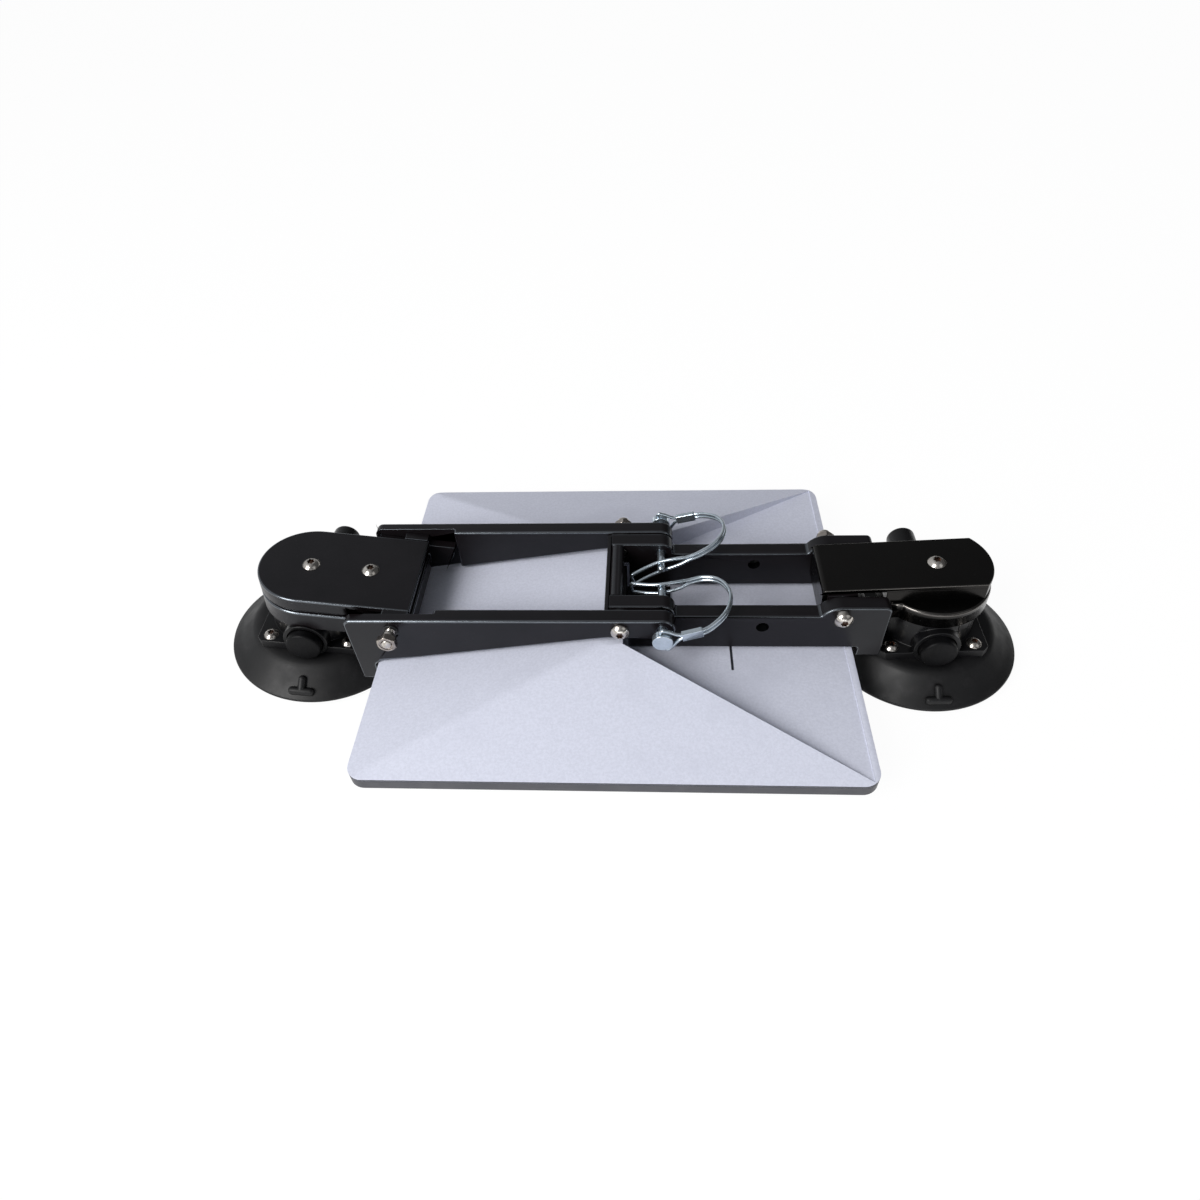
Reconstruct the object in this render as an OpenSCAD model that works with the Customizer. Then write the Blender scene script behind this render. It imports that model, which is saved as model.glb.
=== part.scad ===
// Twin suction-cup bracket that carries a flat lamp panel.
// X runs along the bracket, Y runs across it and Z points up.
// The origin is on the surface that the cups stand on, under the middle of the panel.

/* [Lamp panel] */
// Width of the panel, along the bracket
panel_w = 298.5; // [285:0.5:310]
// Depth of the panel, across the bracket
panel_d = 259; // [220:0.5:300]
// Height of the panel's face above the surface
panel_lift = 20.2; // [19:0.1:21]
// Height of the dark side band
band_h = 7.8; // [6:0.1:8]
// Height of the pale shell's straight edge
shell_edge_h = 1.5; // [1:0.1:2]
// Height of the roof's ridge above the panel's face
ridge_h = 30; // [28:0.1:30.2]
// Length of the ridge
ridge_len = 82; // [78:1:100]
// Width of the flat strip along the ridge
ridge_flat_w = 11.5; // [11:0.1:14]
// Radius of the panel's corners
panel_corner_r = 10; // [6:0.5:16]
// Wall of the shell and the band
shell_t = 2.5; // [2:0.1:4]
// Thickness of the face cover
cover_t = 2.2; // [1.5:0.1:3]
// Thickness of the lamp board
board_t = 1.6; // [1:0.1:2]
// Distance of the recess's inner wall from the ridge
recess_wall_x = 6.5; // [6:0.1:8]
// Width of the rim at the recess's outer end
recess_rim = 6.6; // [4:0.1:12]
// Width of the cable groove in the recess
groove_w = 2.2; // [1.5:0.1:4]
// Length of the cable groove
groove_len = 34; // [20:1:50]

/* [Outer arms] */
// Thickness of an outer arm
arm_t = 10.4; // [9:0.1:12]
// Thickness of an outer arm beside the tilting block
arm_thin_t = 6.3; // [5:0.1:7]
// Width of the leg that hangs beside the panel
leg_w = 11.8; // [9:0.1:14]
// Gap between the panel's edge and a leg
leg_gap = 1.5; // [1:0.1:2]
// Height of the legs' lower end above the surface
leg_clear = 15; // [14.5:0.1:20]
// Depth of an outer arm at its foot, below the axes
arm_foot_drop = 29.8; // [28:0.1:30]
// Depth of an outer arm where it crosses the ridge, below the axes
arm_ridge_drop = 8.4; // [8:0.1:9]
// Radius of the arms' rounded ends round the lock pins
end_r = 7.8; // [7:0.1:8.6]
// Height of the hinges, the pivot and the lock pins
axis_z = 61.3; // [61:0.1:63]

/* [Folding frame] */
// Distance over the folding frame's two arms
frame_w = 66.4; // [64:0.2:70]
// Thickness of a folding arm
frame_t = 10.6; // [9:0.1:12]
// Gap between an outer arm and a folding arm
side_gap = 1.7; // [1.6:0.1:2.5]
// Height of a folding arm's bar
bar_h = 27.8; // [24:0.1:29]
// Gap between the bar and the floor of the recess
bar_gap = 3.1; // [2:0.1:5]
// Thickness of the web between the folding arms
web_t = 7.8; // [6:0.1:9]
// Height of the web
web_h = 16.4; // [14:0.1:16.8]
// Radius of the knuckle at the outer hinge
knuckle_r = 14.4; // [13:0.1:16]
// Distance from the outer hinge to the frame's end
frame_end = 28.6; // [25:0.1:30]
// Height of the lower end of the frame's outer legs
frame_leg_clear = 25.2; // [25:0.1:27]
// Diameter of the accessory holes
accessory_d = 7.8; // [5:0.1:10]
// Position of the accessory holes along the bracket
accessory_x = 91.5; // [80:0.5:110]
// Height of the accessory holes above the bar's underside
accessory_up = 18.6; // [12:0.1:20]

/* [Axes] */
// Distance of the left head's hinge inside the panel's edge
left_hinge_in = 15.45; // [13:0.05:16.2]
// Distance of the right head's hinge inside the panel's edge
right_hinge_in = 11.35; // [10.2:0.05:13.2]
// Position of the centre pivot
pivot_x = 5.2; // [5:0.1:6]
// Position of the lock pins
pin_x = 30.5; // [28:0.5:34]
// Tilt of the left head at rest
left_tilt = 7.98; // [7.5:0.01:8.5]
// Tilt of the right head at rest
right_tilt = 3.33; // [3:0.01:4]

/* [Cups] */
// Radius of a rubber cup's rim
cup_r = 60.6; // [58:0.1:62]
// Radius where the cup's slope meets its crown
crown_r = 44.5; // [42:0.5:46]
// Height of a cup's crown
crown_h = 17; // [15:0.1:18]
// Height of the pump flange's underside
flange_up = 18; // [17.5:0.1:18.5]
// Depth of the hollow under a cup
cup_hollow = 3; // [2:0.1:3.5]
// Thickness of a cup's edge
cup_edge = 2; // [1.5:0.1:3]
// Distance from a cup's axis to its hinge
hinge_reach = 60.3; // [59:0.1:60.5]
// Length of the pull tab's bar
tab_w = 17; // [12:0.5:22]
// Width of the pull tab's stem
tab_stem_w = 5.6; // [4:0.1:8]

/* [Pumps] */
// Width of the pump's flange
flange_w = 66; // [62:0.5:70]
// Depth of the pump's flange
flange_d = 64.4; // [60:0.2:68]
// Thickness of the pump's flange
flange_t = 6; // [5:0.1:7]
// Cut across the flange's corners
flange_cut = 3.4; // [2:0.1:6]
// Spacing of the flange screws along the bracket
screw_dx = 50; // [46:0.5:54]
// Spacing of the flange screws across the bracket
screw_dy = 52; // [48:0.5:54]
// Diameter of the flange screws
flange_screw_d = 5; // [4:0.5:6]
// Height of the barrel's axis above the rim
barrel_up = 29.3; // [29:0.1:29.4]
// Radius of the barrel's front shroud
shroud_r = 14; // [13.6:0.1:15]
// Distance of the shroud's front from the cup's axis
shroud_front = 34; // [30:0.5:38]
// Radius of the plunger's button
button_r = 11; // [10:0.1:11.4]
// Distance that the button stands out of the shroud, which is its stroke
stroke = 6; // [4:0.5:8]
// Radius of the barrel's rear cap
cap_r = 9.45; // [8:0.05:11]
// Distance of the rear cap's end from the cup's axis
cap_end = 71.5; // [55:0.5:80]
// Radius of the plunger's rod
rod_r = 4; // [3:0.1:5]
// Radius of the pump's bore
bore_r = 8; // [7:0.1:9]
// Clearance round the button and the rod
slide_gap = 0.25; // [0.2:0.05:0.4]
// Wire of the plunger's return spring
spring_wire = 1.2; // [0.8:0.1:1.6]
// Turns of the plunger's return spring
spring_turns = 7; // [4:1:9]

/* [Left head] */
// Radius of the left head's round end
left_r = 32.5; // [30:0.1:33]
// Distance of the left plates' inner end from the cup's axis
left_len = 69; // [66:0.5:70]
// Height of the left top plate's upper face above the rim
left_top = 66; // [65.5:0.1:67]
// Thickness of the top plates
plate_t = 3; // [2:0.1:4]
// Height of the left spacer block
left_spacer_h = 8.6; // [8:0.1:9]
// Distance of the left spacer's inner end from the cup's axis
left_spacer_len = 31.6; // [26:0.2:36]
// Height of the left tilting block
left_block_h = 13.5; // [12:0.1:14.5]
// Radius of the tilting block's ears, below the hinge
ear_r = 25.6; // [22:0.1:25.9]
// Radius of the ears' bosses round the hinge
ear_boss_r = 8.6; // [6:0.1:8.7]
// Gap round the ears inside the arms
ear_gap = 0.2; // [0.1:0.05:0.4]
// Distance of the second plate screw from the cup's axis
plate_screw_x = 37.7; // [34.5:0.1:44]

/* [Right head] */
// Width of the right top strip
strip_w = 42; // [38:0.5:44]
// Height of the right top strip's upper face above the rim
right_top = 70.5; // [69.5:0.1:71]
// Distance from the hinge to the strip's bent end
strip_over = 10.7; // [9.5:0.1:11.8]
// Height of the strip's bent lower edge above the rim
strip_drop = 47; // [46:0.1:50]
// Radius of the right cap disc
disc_r = 33.5; // [32:0.1:34]
// Height of the right cap disc
disc_h = 11.2; // [10:0.1:12]
// Width of the disc's square tab
disc_tab_w = 47; // [44:0.2:50]
// Distance of the tab's end from the cup's axis
disc_tab_len = 29.6; // [27:0.1:30]
// Height of the right spacer block
right_spacer_h = 8.5; // [8:0.1:9]
// Distance of the right spacer's inner end from the cup's axis
right_spacer_len = 33; // [30:0.5:34]
// Width of the right tilting block
right_block_w = 44.8; // [44:0.1:45]
// Length of the right tilting block
right_block_len = 18; // [14:0.5:20]
// Height of the right tilting block
right_block_h = 17; // [15:0.1:18]

/* [Fasteners and pins] */
// Diameter of the pivot and hinge screws
bolt_d = 6; // [5:0.1:6.6]
// Diameter of the large button heads
head_d = 11; // [9.5:0.1:12]
// Height of the large button heads
head_h = 3.1; // [2.5:0.1:3.6]
// Width across the corners of a safety nut
nut_d = 12.6; // [11:0.1:13]
// Thickness of a safety nut's hexagon
nut_t = 4.4; // [3.5:0.1:5]
// Width of a safety nut's round collar
collar_d = 9; // [8:0.1:10]
// Length of a safety nut's round collar
collar_len = 3.4; // [2.5:0.1:4]
// Distance that the left hinge stud stands out of its arm
stud_out = 12; // [11:0.5:15]
// Thickness of the washers beside the centre pivot
washer_t = 1.8; // [1:0.1:2.5]
// Length of the spacer under the right hinge bolt's head
hinge_spacer_len = 4; // [2:0.1:5]
// Diameter of a lock pin
pin_d = 4.9; // [4.5:0.1:5.5]
// Diameter of a lock pin's head
pin_head_d = 12.2; // [11:0.1:13]
// Thickness of a lock pin's head
pin_head_t = 5; // [4.5:0.1:6]
// Distance from the middle plane to a lock pin's tip
pin_tip = 6; // [4:0.5:8]
// Distance between a lock pin's head and its outer arm
pin_stand_off = 5.2; // [4:0.1:6]
// Diameter of the lock bails' wire
wire_d = 2.4; // [2:0.1:2.6]
// Rise of the front bail's plane
front_bail_rise = 12; // [8:1:18]
// Rise of the rear bail's plane
rear_bail_rise = 20; // [12:1:26]
// Radial clearance of the running fits
run_gap = 0.05; // [0.03:0.01:0.1]

/* [Hidden] */
$fn = 48;
eps = 0.01;

// Panel levels and slopes
band_top = panel_lift + band_h;
rim_z = band_top + shell_edge_h;
ridge_z = panel_lift + ridge_h;
roof_slope = (ridge_z - rim_z) / (panel_w / 2);
roof_flat_z = ridge_z - roof_slope * ridge_flat_w / 2;
recess_slope = (panel_d - ridge_len) / panel_w;
groove_x = panel_w / 4 - 1.7;
groove_y = -32;
groove_depth = 0.7;

// Bracket levels and faces
left_hinge_x = panel_w / 2 - left_hinge_in;
right_hinge_x = panel_w / 2 - right_hinge_in;
arm_top = axis_z + end_r;
frame_face = frame_w / 2;
frame_inner = frame_face - frame_t;
arm_inner = frame_face + side_gap;
arm_face = arm_inner + arm_t;
thin_inner = arm_face - arm_thin_t;
leg_inner_x = -(panel_w / 2 + leg_gap);
arm_end_x = leg_inner_x - leg_w;
pocket_x = -left_hinge_x + ear_r + 2 * ear_gap;
web_back = 6.7;
web_x = pivot_x - web_back;
bar_bottom = rim_z + bar_gap;
bar_top = bar_bottom + bar_h;
frame_end_x = right_hinge_x + frame_end;
frame_leg_gap = 2.2;
frame_leg_x = panel_w / 2 + frame_leg_gap;
frame_end_drop = 1.5;
knuckle_z = arm_top - knuckle_r - frame_end_drop;
arm_corner_r = 5;
foot_chamfer = 2.6;
foot_slope_x = 29.5;
foot_slope_drop = 25.8;
ridge_rise = 1.5;
ridge_slope_x = 11.6;
web_foot_x = 3;
frame_corner_r = 4;

// Bracket under the panel's carrier
bracket_t = 1.5;
bracket_w = 10;
bracket_ear_t = side_gap - 0.4;
bracket_ear_r = 7;
bracket_back_x = web_x - 0.5;
bracket_back_t = 2.4;
bracket_back_h = web_h + 1;
bracket_foot_x = 37;
bracket_foot_t = 2;
bracket_foot_gap = 0.3;
carrier_screw_d = 4;
carrier_screw_len = 11;
carrier_socket_d = 2.5;
carrier_head_d = 7.6;

// Heads: height from rim plane to hinge, so that the rim's inner edge meets the surface
left_hinge_h = (axis_z - (cup_r - hinge_reach) * sin(left_tilt)) / cos(left_tilt);
right_hinge_h = (axis_z - (cup_r - hinge_reach) * sin(right_tilt)) / cos(right_tilt);
left_spacer_z = left_top - plate_t - left_spacer_h;
left_block_z = left_spacer_z - left_block_h;
right_spacer_z = right_top - plate_t - right_spacer_h;
right_disc_z = right_spacer_z - disc_h;
right_block_z = right_top - plate_t - right_block_h;
strip_reach = hinge_reach + strip_over;
strip_face_x = plate_t - strip_reach;
ear_drop = 15.3;
blind_floor = 3;
screw_end_gap = 0.5;
neck_r = 30;
shroud_lip = 1.2;
flange_top = flange_up + flange_t;

// Pump stages along the barrel, measured from the cup's axis
button_front = shroud_front + stroke;
button_t = stroke + 8;
button_back = button_front - button_t;
button_floor = button_back - stroke - 1;
bore_end = 30;
cap_wall = 2.4;
cap_dome_r = 2.2 * cap_r;
cap_nose = cap_dome_r - sqrt(cap_dome_r * cap_dome_r - cap_r * cap_r);
piston_t = 6;
stop_wall = 4;
stop_y = button_floor - stop_wall;
piston_front = stop_y - run_gap;
piston_back = piston_front - piston_t;
seal_r = 1.1;
seal_mid_r = bore_r - seal_r - run_gap;
seal_y = -(piston_front + piston_back) / 2;
spring_r = bore_r - spring_wire / 2 - 0.6;

// Lock pins and bails
pin_hole_d = pin_d + 2 * run_gap;
pin_head_in = arm_face + pin_stand_off;
pin_head_out = pin_head_in + pin_head_t;
bail_y = pin_head_in + pin_head_t / 2;
wire_r = wire_d / 2;
pair_gap = wire_r + 0.15;
straddle = pin_d / 2 + wire_r + 0.15;
hook_bend = 2;
tail_bend = 1.7;
hook_up = pin_head_d / 2 + hook_bend + 0.1;
hook_in = 2.2;
ferrule_r = 11.5;
ferrule_end = 24;
ferrule_slope = 7;
ferrule_w = 3.4;
ferrule_h = 6;
part_r = 17;
part_len = 10;
front_bail_route = [
    [2, 0], [5, 0.4], [11.5, 1.1], [24, 2.6], [32, 7.5], [39, 16], [42, 27],
    [40, 36.5], [34.5, 43.5], [26, 46.5], [18, 45.8], [11, 44], [0, 43], [-9, 44.7], [-18, 47.7]
];
rear_bail_route = [
    [2, 0], [5, 0.3], [11.5, 0.8], [24, 2.2], [32.5, 5.5], [39.5, 11.5], [43, 20],
    [41.5, 29], [35.5, 36], [26, 40.5], [18, 42], [11, 42.4], [0, 42.5], [-9, 44.3], [-18, 47.4]
];
route_steps = 3;

// Shared shapes

module box(x0, x1, y0, y1, z0, z1) {
    translate([x0, y0, z0]) cube([x1 - x0, y1 - y0, z1 - z0]);
}

module round_rect(w, d, r) {
    square([w - 2 * r, d], center = true);
    square([w, d - 2 * r], center = true);
    for (sx = [-1, 1], sy = [-1, 1]) translate([sx * (w / 2 - r), sy * (d / 2 - r)]) circle(r);
}

module round_slab(w, d, r, z0, z1) {
    translate([0, 0, z0]) linear_extrude(height = z1 - z0) round_rect(w, d, r);
}

// A shape drawn in X and Z, pulled from y0 to y1
module across(y0, y1) {
    translate([0, y1, 0]) rotate([90, 0, 0]) linear_extrude(height = y1 - y0) children();
}

module rod_y(x, z, r, y0, y1) {
    translate([x, y0, z]) rotate([-90, 0, 0]) cylinder(r = r, h = y1 - y0);
}

// Turns a front piece into the rear one
module rear_side() {
    mirror([0, 1, 0]) children();
}

module both_sides() {
    children();
    rear_side() children();
}

// Stands a left head, drawn about its cup's axis, on its hinge
module left_head() {
    translate([-left_hinge_x, 0, axis_z]) rotate([0, left_tilt, 0])
        translate([-hinge_reach, 0, -left_hinge_h]) children();
}

// Stands a right head, drawn about its cup's axis, on its hinge
module right_head() {
    translate([right_hinge_x, 0, axis_z]) rotate([0, -right_tilt, 0])
        translate([hinge_reach, 0, -right_hinge_h]) children();
}

// A low domed screw head with its shaft, standing on z = 0 and pointing up
module button_screw(d, head, rise, len) {
    crown = (head * head / 4 + rise * rise) / (2 * rise);
    difference() {
        union() {
            intersection() {
                translate([0, 0, rise - crown]) sphere(crown);
                cylinder(d = head, h = rise);
            }
            translate([0, 0, -len]) cylinder(d = d, h = len + eps);
        }
        translate([0, 0, rise * 0.35]) cylinder(d = d * 0.62, h = rise, $fn = 6);
    }
}

// A nut with a nylon collar, standing on its hexagon's face at z = 0
module safety_nut() {
    difference() {
        union() {
            cylinder(d = nut_d, h = nut_t, $fn = 6);
            translate([0, 0, nut_t - eps]) cylinder(d = collar_d, h = collar_len + eps);
        }
        translate([0, 0, -1]) cylinder(d = bolt_d, h = nut_t + collar_len + 2);
    }
}

module washer(r, h) {
    difference() {
        cylinder(r = r, h = h);
        translate([0, 0, -1]) cylinder(d = bolt_d, h = h + 2);
    }
}

// Panel

module roof(w, d, z0, z1) {
    intersection() {
        across(-d, d) polygon([[-w / 2, z0], [w / 2, z0], [0, z1]]);
        rotate([0, 0, 90]) across(-w, w)
            polygon([[-d / 2, z0], [d / 2, z0], [ridge_len / 2, z1], [-ridge_len / 2, z1]]);
    }
}

module recess_outline(grow) {
    x0 = recess_wall_x - grow;
    x1 = panel_w / 2 - recess_rim + grow;
    y0 = ridge_len / 2 + recess_slope * x0 + 1.3 * grow;
    y1 = ridge_len / 2 + recess_slope * x1 + 1.3 * grow;
    polygon([[x0, -y0], [x0, y0], [x1, y1], [x1, -y1]]);
}

module panel_rear_shell() {
    hollow_w = panel_w - 2 * shell_t;
    hollow_d = panel_d - 2 * shell_t;
    color("lavender") difference() {
        union() {
            round_slab(panel_w, panel_d, panel_corner_r, band_top, rim_z);
            intersection() {
                roof(panel_w, panel_d, rim_z, ridge_z);
                round_slab(panel_w, panel_d, panel_corner_r, band_top, roof_flat_z);
            }
        }
        difference() {
            translate([0, 0, -eps]) roof(hollow_w, hollow_d, band_top, ridge_z - shell_t);
            translate([0, 0, band_top - 1]) linear_extrude(height = ridge_h) recess_outline(shell_t);
            box(-ridge_flat_w / 2, ridge_flat_w / 2, -ridge_len / 2, ridge_len / 2, band_top, ridge_z);
        }
        translate([0, 0, rim_z]) linear_extrude(height = ridge_h) recess_outline(0);
        box(groove_x, groove_x + groove_w, groove_y - groove_len / 2, groove_y + groove_len / 2,
            rim_z - groove_depth, ridge_z);
        carrier_screw_places() cylinder(d = carrier_screw_d, h = 2.2 * carrier_screw_len, center = true);
        carrier_screw_places() translate([0, 0, -bracket_t])
            cylinder(d1 = 0, d2 = carrier_head_d, h = carrier_head_d / 2);
    }
}

module panel_side_band() {
    color("dimgray") difference() {
        round_slab(panel_w, panel_d, panel_corner_r, panel_lift, band_top);
        round_slab(panel_w - 2 * shell_t, panel_d - 2 * shell_t, panel_corner_r - shell_t,
            panel_lift - 1, band_top + 1);
    }
}

module panel_face_cover() {
    color("white") round_slab(panel_w - 2 * shell_t, panel_d - 2 * shell_t, panel_corner_r - shell_t,
        panel_lift, panel_lift + cover_t);
}

module panel_lamp_board() {
    color("silver") round_slab(panel_w - 4 * shell_t, panel_d - 4 * shell_t, panel_corner_r - 2 * shell_t,
        panel_lift + cover_t, panel_lift + cover_t + board_t);
}

// Bracket that carries the panel between the arms

module carrier_screw_places() {
    for (y = [-1, 1] * frame_inner * 0.45) translate([0, y, roof_flat_z]) children();
    for (y = [-1, 1] * frame_inner) translate([0, y, roof_flat_z]) children();
}

module panel_bracket() {
    ear_out = arm_inner - ear_gap;
    ear_in = ear_out - bracket_ear_t;
    foot_y = frame_inner - bracket_foot_gap;
    color("gray") difference() {
        union() {
            box(bracket_back_x - bracket_back_t, bracket_w / 2, -ear_out, ear_out,
                roof_flat_z, roof_flat_z + bracket_t);
            box(bracket_back_x - bracket_back_t, bracket_back_x, -ear_out, ear_out,
                roof_flat_z, roof_flat_z + bracket_back_h);
            box(bracket_w / 2 - eps, recess_wall_x + bracket_t, -foot_y, foot_y,
                roof_flat_z, roof_flat_z + bracket_t);
            box(recess_wall_x, recess_wall_x + bracket_t, -foot_y, foot_y, rim_z, roof_flat_z + eps);
            box(recess_wall_x, bracket_foot_x, -foot_y, foot_y, rim_z, rim_z + bracket_foot_t);
            both_sides() across(ear_in, ear_out) {
                translate([pivot_x, axis_z]) circle(bracket_ear_r);
                polygon([
                    [bracket_back_x - bracket_back_t, roof_flat_z], [bracket_w / 2, roof_flat_z],
                    [pivot_x + bracket_ear_r, axis_z], [pivot_x, axis_z + bracket_ear_r],
                    [bracket_back_x - bracket_back_t, roof_flat_z + bracket_back_h]
                ]);
            }
        }
        rod_y(pivot_x, axis_z, bolt_d / 2 + 0.1, -arm_face, arm_face);
        carrier_screw_places() cylinder(d1 = carrier_head_d - 2 * bracket_t, d2 = carrier_head_d + eps,
            h = bracket_t + eps);
    }
}

module panel_bracket_screws() {
    color("silver") carrier_screw_places() {
        difference() {
            union() {
                cylinder(d1 = carrier_head_d - 2 * bracket_t, d2 = carrier_head_d, h = bracket_t);
                translate([0, 0, -carrier_screw_len])
                    cylinder(d = carrier_screw_d, h = carrier_screw_len + eps);
            }
            translate([0, 0, bracket_t * 0.4]) cylinder(d = carrier_socket_d, h = bracket_t, $fn = 6);
        }
    }
}

// Outer arms

module left_arm_outline() {
    top_x = arm_end_x + arm_corner_r;
    foot_z = axis_z - arm_foot_drop;
    polygon([
        [arm_end_x, leg_clear], [leg_inner_x, leg_clear], [leg_inner_x, foot_z - foot_chamfer],
        [leg_inner_x + foot_chamfer, foot_z], [leg_inner_x + foot_slope_x, axis_z - foot_slope_drop],
        [web_x - ridge_slope_x, axis_z - arm_ridge_drop], [web_x, axis_z - arm_ridge_drop + ridge_rise],
        [pin_x, axis_z - end_r], [pin_x, arm_top], [top_x, arm_top],
        [top_x, arm_top - arm_corner_r], [arm_end_x, arm_top - arm_corner_r]
    ]);
    translate([top_x, arm_top - arm_corner_r]) circle(arm_corner_r);
    translate([pin_x, axis_z]) circle(end_r);
}

module outer_arm() {
    difference() {
        across(-arm_face, -arm_inner) left_arm_outline();
        box(arm_end_x - 1, pocket_x, -thin_inner, -arm_inner + 1, 0, arm_top + 1);
        rod_y(-left_hinge_x, axis_z, bolt_d / 2 + run_gap, -arm_face - 1, -arm_inner + 1);
        rod_y(pivot_x, axis_z, bolt_d / 2 + 0.1, -arm_face - 1, -arm_inner + 1);
        rod_y(pin_x, axis_z, pin_hole_d / 2, -arm_face - 1, -arm_inner + 1);
    }
}

module left_arm_front() {
    color("#1c1c1c") outer_arm();
}

module left_arm_rear() {
    color("#1c1c1c") rear_side() outer_arm();
}

// Folding frame

module frame_arm_outline() {
    end_top = arm_top - frame_end_drop;
    end_r2 = frame_corner_r;
    polygon([
        [web_x, arm_top - web_h], [recess_wall_x + web_foot_x, arm_top - web_h],
        [recess_wall_x + web_foot_x, bar_bottom],
        [frame_leg_x, bar_bottom], [frame_leg_x, frame_leg_clear], [frame_end_x, frame_leg_clear],
        [frame_end_x, end_top - end_r2], [frame_end_x - end_r2, end_top - end_r2],
        [frame_end_x - end_r2, end_top], [right_hinge_x, end_top], [right_hinge_x, bar_top],
        [pin_x + end_r, bar_top], [pin_x + end_r, axis_z], [pin_x, axis_z],
        [pin_x, arm_top], [web_x, arm_top]
    ]);
    translate([pin_x, axis_z]) circle(end_r);
    translate([right_hinge_x, knuckle_z]) circle(knuckle_r);
    translate([frame_end_x - end_r2, end_top - end_r2]) circle(end_r2);
}

module folding_arm() {
    difference() {
        across(-frame_face, -frame_inner) frame_arm_outline();
        rod_y(pivot_x, axis_z, bolt_d / 2, -frame_face - 1, -frame_inner + 1);
        rod_y(pin_x, axis_z, pin_hole_d / 2, -frame_face - 1, -frame_inner + 1);
        rod_y(right_hinge_x, axis_z, bolt_d / 2 + run_gap, -frame_face - 1, -frame_inner + 1);
        rod_y(accessory_x, bar_bottom + accessory_up, accessory_d / 2, -frame_face - 1, -frame_inner + 1);
    }
}

module frame_arm_front() {
    color("#202020") folding_arm();
}

module frame_arm_rear() {
    color("#202020") rear_side() folding_arm();
}

module frame_web() {
    color("#202020") box(web_x, web_x + web_t, -frame_inner, frame_inner, arm_top - web_h, arm_top);
}

module pivot_screw_front() {
    color("silver") translate([pivot_x, -arm_face - washer_t, axis_z]) rotate([90, 0, 0])
        button_screw(bolt_d, head_d, head_h, washer_t + arm_face - frame_inner - 1);
}

module pivot_stud_rear() {
    color("silver") rod_y(pivot_x, axis_z, bolt_d / 2, frame_inner + 1,
        arm_face + washer_t + nut_t + collar_len - 1);
}

module pivot_nut_rear() {
    color("silver") translate([pivot_x, arm_face + washer_t, axis_z]) rotate([-90, 0, 0]) safety_nut();
}

module pivot_washers() {
    color("silver") both_sides() translate([pivot_x, -arm_face, axis_z]) rotate([90, 0, 0])
        washer(head_d / 2, washer_t);
}

// Cups and pumps, drawn about the cup's axis with the rim at z = 0

module cup() {
    lip = 3;
    slope = (crown_h - cup_edge) / (cup_r - crown_r);
    tab_y = -cup_r + 4.5;
    stem_y = -crown_r - 6;
    stem_t = 2.4;
    color("#262626") union() {
        rotate_extrude($fn = 96) polygon([
            [0, cup_hollow], [cup_r - 3 * lip, cup_hollow], [cup_r - lip, 0], [cup_r, 0], [cup_r, cup_edge],
            [crown_r, crown_h], [crown_r - 4.5, flange_up], [0, flange_up]
        ]);
        translate([-tab_stem_w / 2, 0, 0]) rotate([90, 0, 90]) linear_extrude(height = tab_stem_w) polygon([
            [tab_y, cup_edge + 1], [stem_y, cup_hollow + 1.5],
            [stem_y, cup_edge + (cup_r + stem_y) * slope + stem_t],
            [tab_y, cup_edge + 4.5 * slope + stem_t]
        ]);
        box(-tab_w / 2, tab_w / 2, tab_y - 2.4, tab_y + 1.6, cup_edge + 0.6, cup_edge + 4.5 * slope + 2.6);
    }
}

module flange_screw_places() {
    for (sx = [-1, 1], sy = [-1, 1])
        translate([sx * screw_dx / 2, sy * screw_dy / 2, flange_top]) children();
}

module flange_outline() {
    w = flange_w / 2;
    d = flange_d / 2;
    c = flange_cut;
    polygon([
        [-w, -d + c], [-w + c, -d], [w - c, -d], [w, -d + c],
        [w, d - c], [w - c, d], [-w + c, d], [-w, d - c]
    ]);
}

module pump_body(neck_top) {
    color("#1a1a1a") difference() {
        union() {
            translate([0, 0, flange_up]) linear_extrude(height = flange_t) flange_outline();
            translate([0, 0, flange_top - eps]) cylinder(r = neck_r, h = neck_top - flange_top + eps);
            rod_y(0, barrel_up, shroud_r, -shroud_front, 0);
            rod_y(0, barrel_up, cap_r + cap_wall, -eps, bore_end);
        }
        flange_screw_places() translate([0, 0, -flange_t - 1])
            cylinder(d = flange_screw_d, h = flange_t + 2);
        flange_screw_places() cylinder(d = 2 * flange_screw_d, h = 3.4);
        rod_y(0, barrel_up, button_r + slide_gap, -shroud_front - 1, -button_floor);
        rod_y(0, barrel_up, rod_r + slide_gap, -button_floor - 1, -stop_y + eps);
        rod_y(0, barrel_up, bore_r, -stop_y, bore_end + 1);
        rod_y(0, barrel_up, cap_r + slide_gap, bore_end, flange_d);
        box(-flange_w, flange_w, -flange_d, flange_d, flange_up - shroud_r, flange_up);
        box(-shroud_r, shroud_r, shroud_lip - shroud_front, flange_d, neck_top, neck_top + shroud_r);
    }
}

// Closed rear end of the barrel, screwed on behind the neck
module barrel_cap() {
    len = cap_end - bore_end;
    color("#161616") translate([0, bore_end, barrel_up]) rotate([-90, 0, 0]) rotate_extrude() difference() {
        union() {
            square([cap_r, len - cap_nose]);
            intersection() {
                translate([0, len - cap_dome_r]) circle(cap_dome_r, $fn = 96);
                translate([0, len - cap_nose]) square([cap_r, cap_nose]);
            }
        }
        square([bore_r - cap_wall, len - cap_nose - cap_wall]);
    }
}

module flange_screws() {
    color("silver") flange_screw_places() button_screw(flange_screw_d, 1.9 * flange_screw_d, 2.8, flange_t);
}

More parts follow.
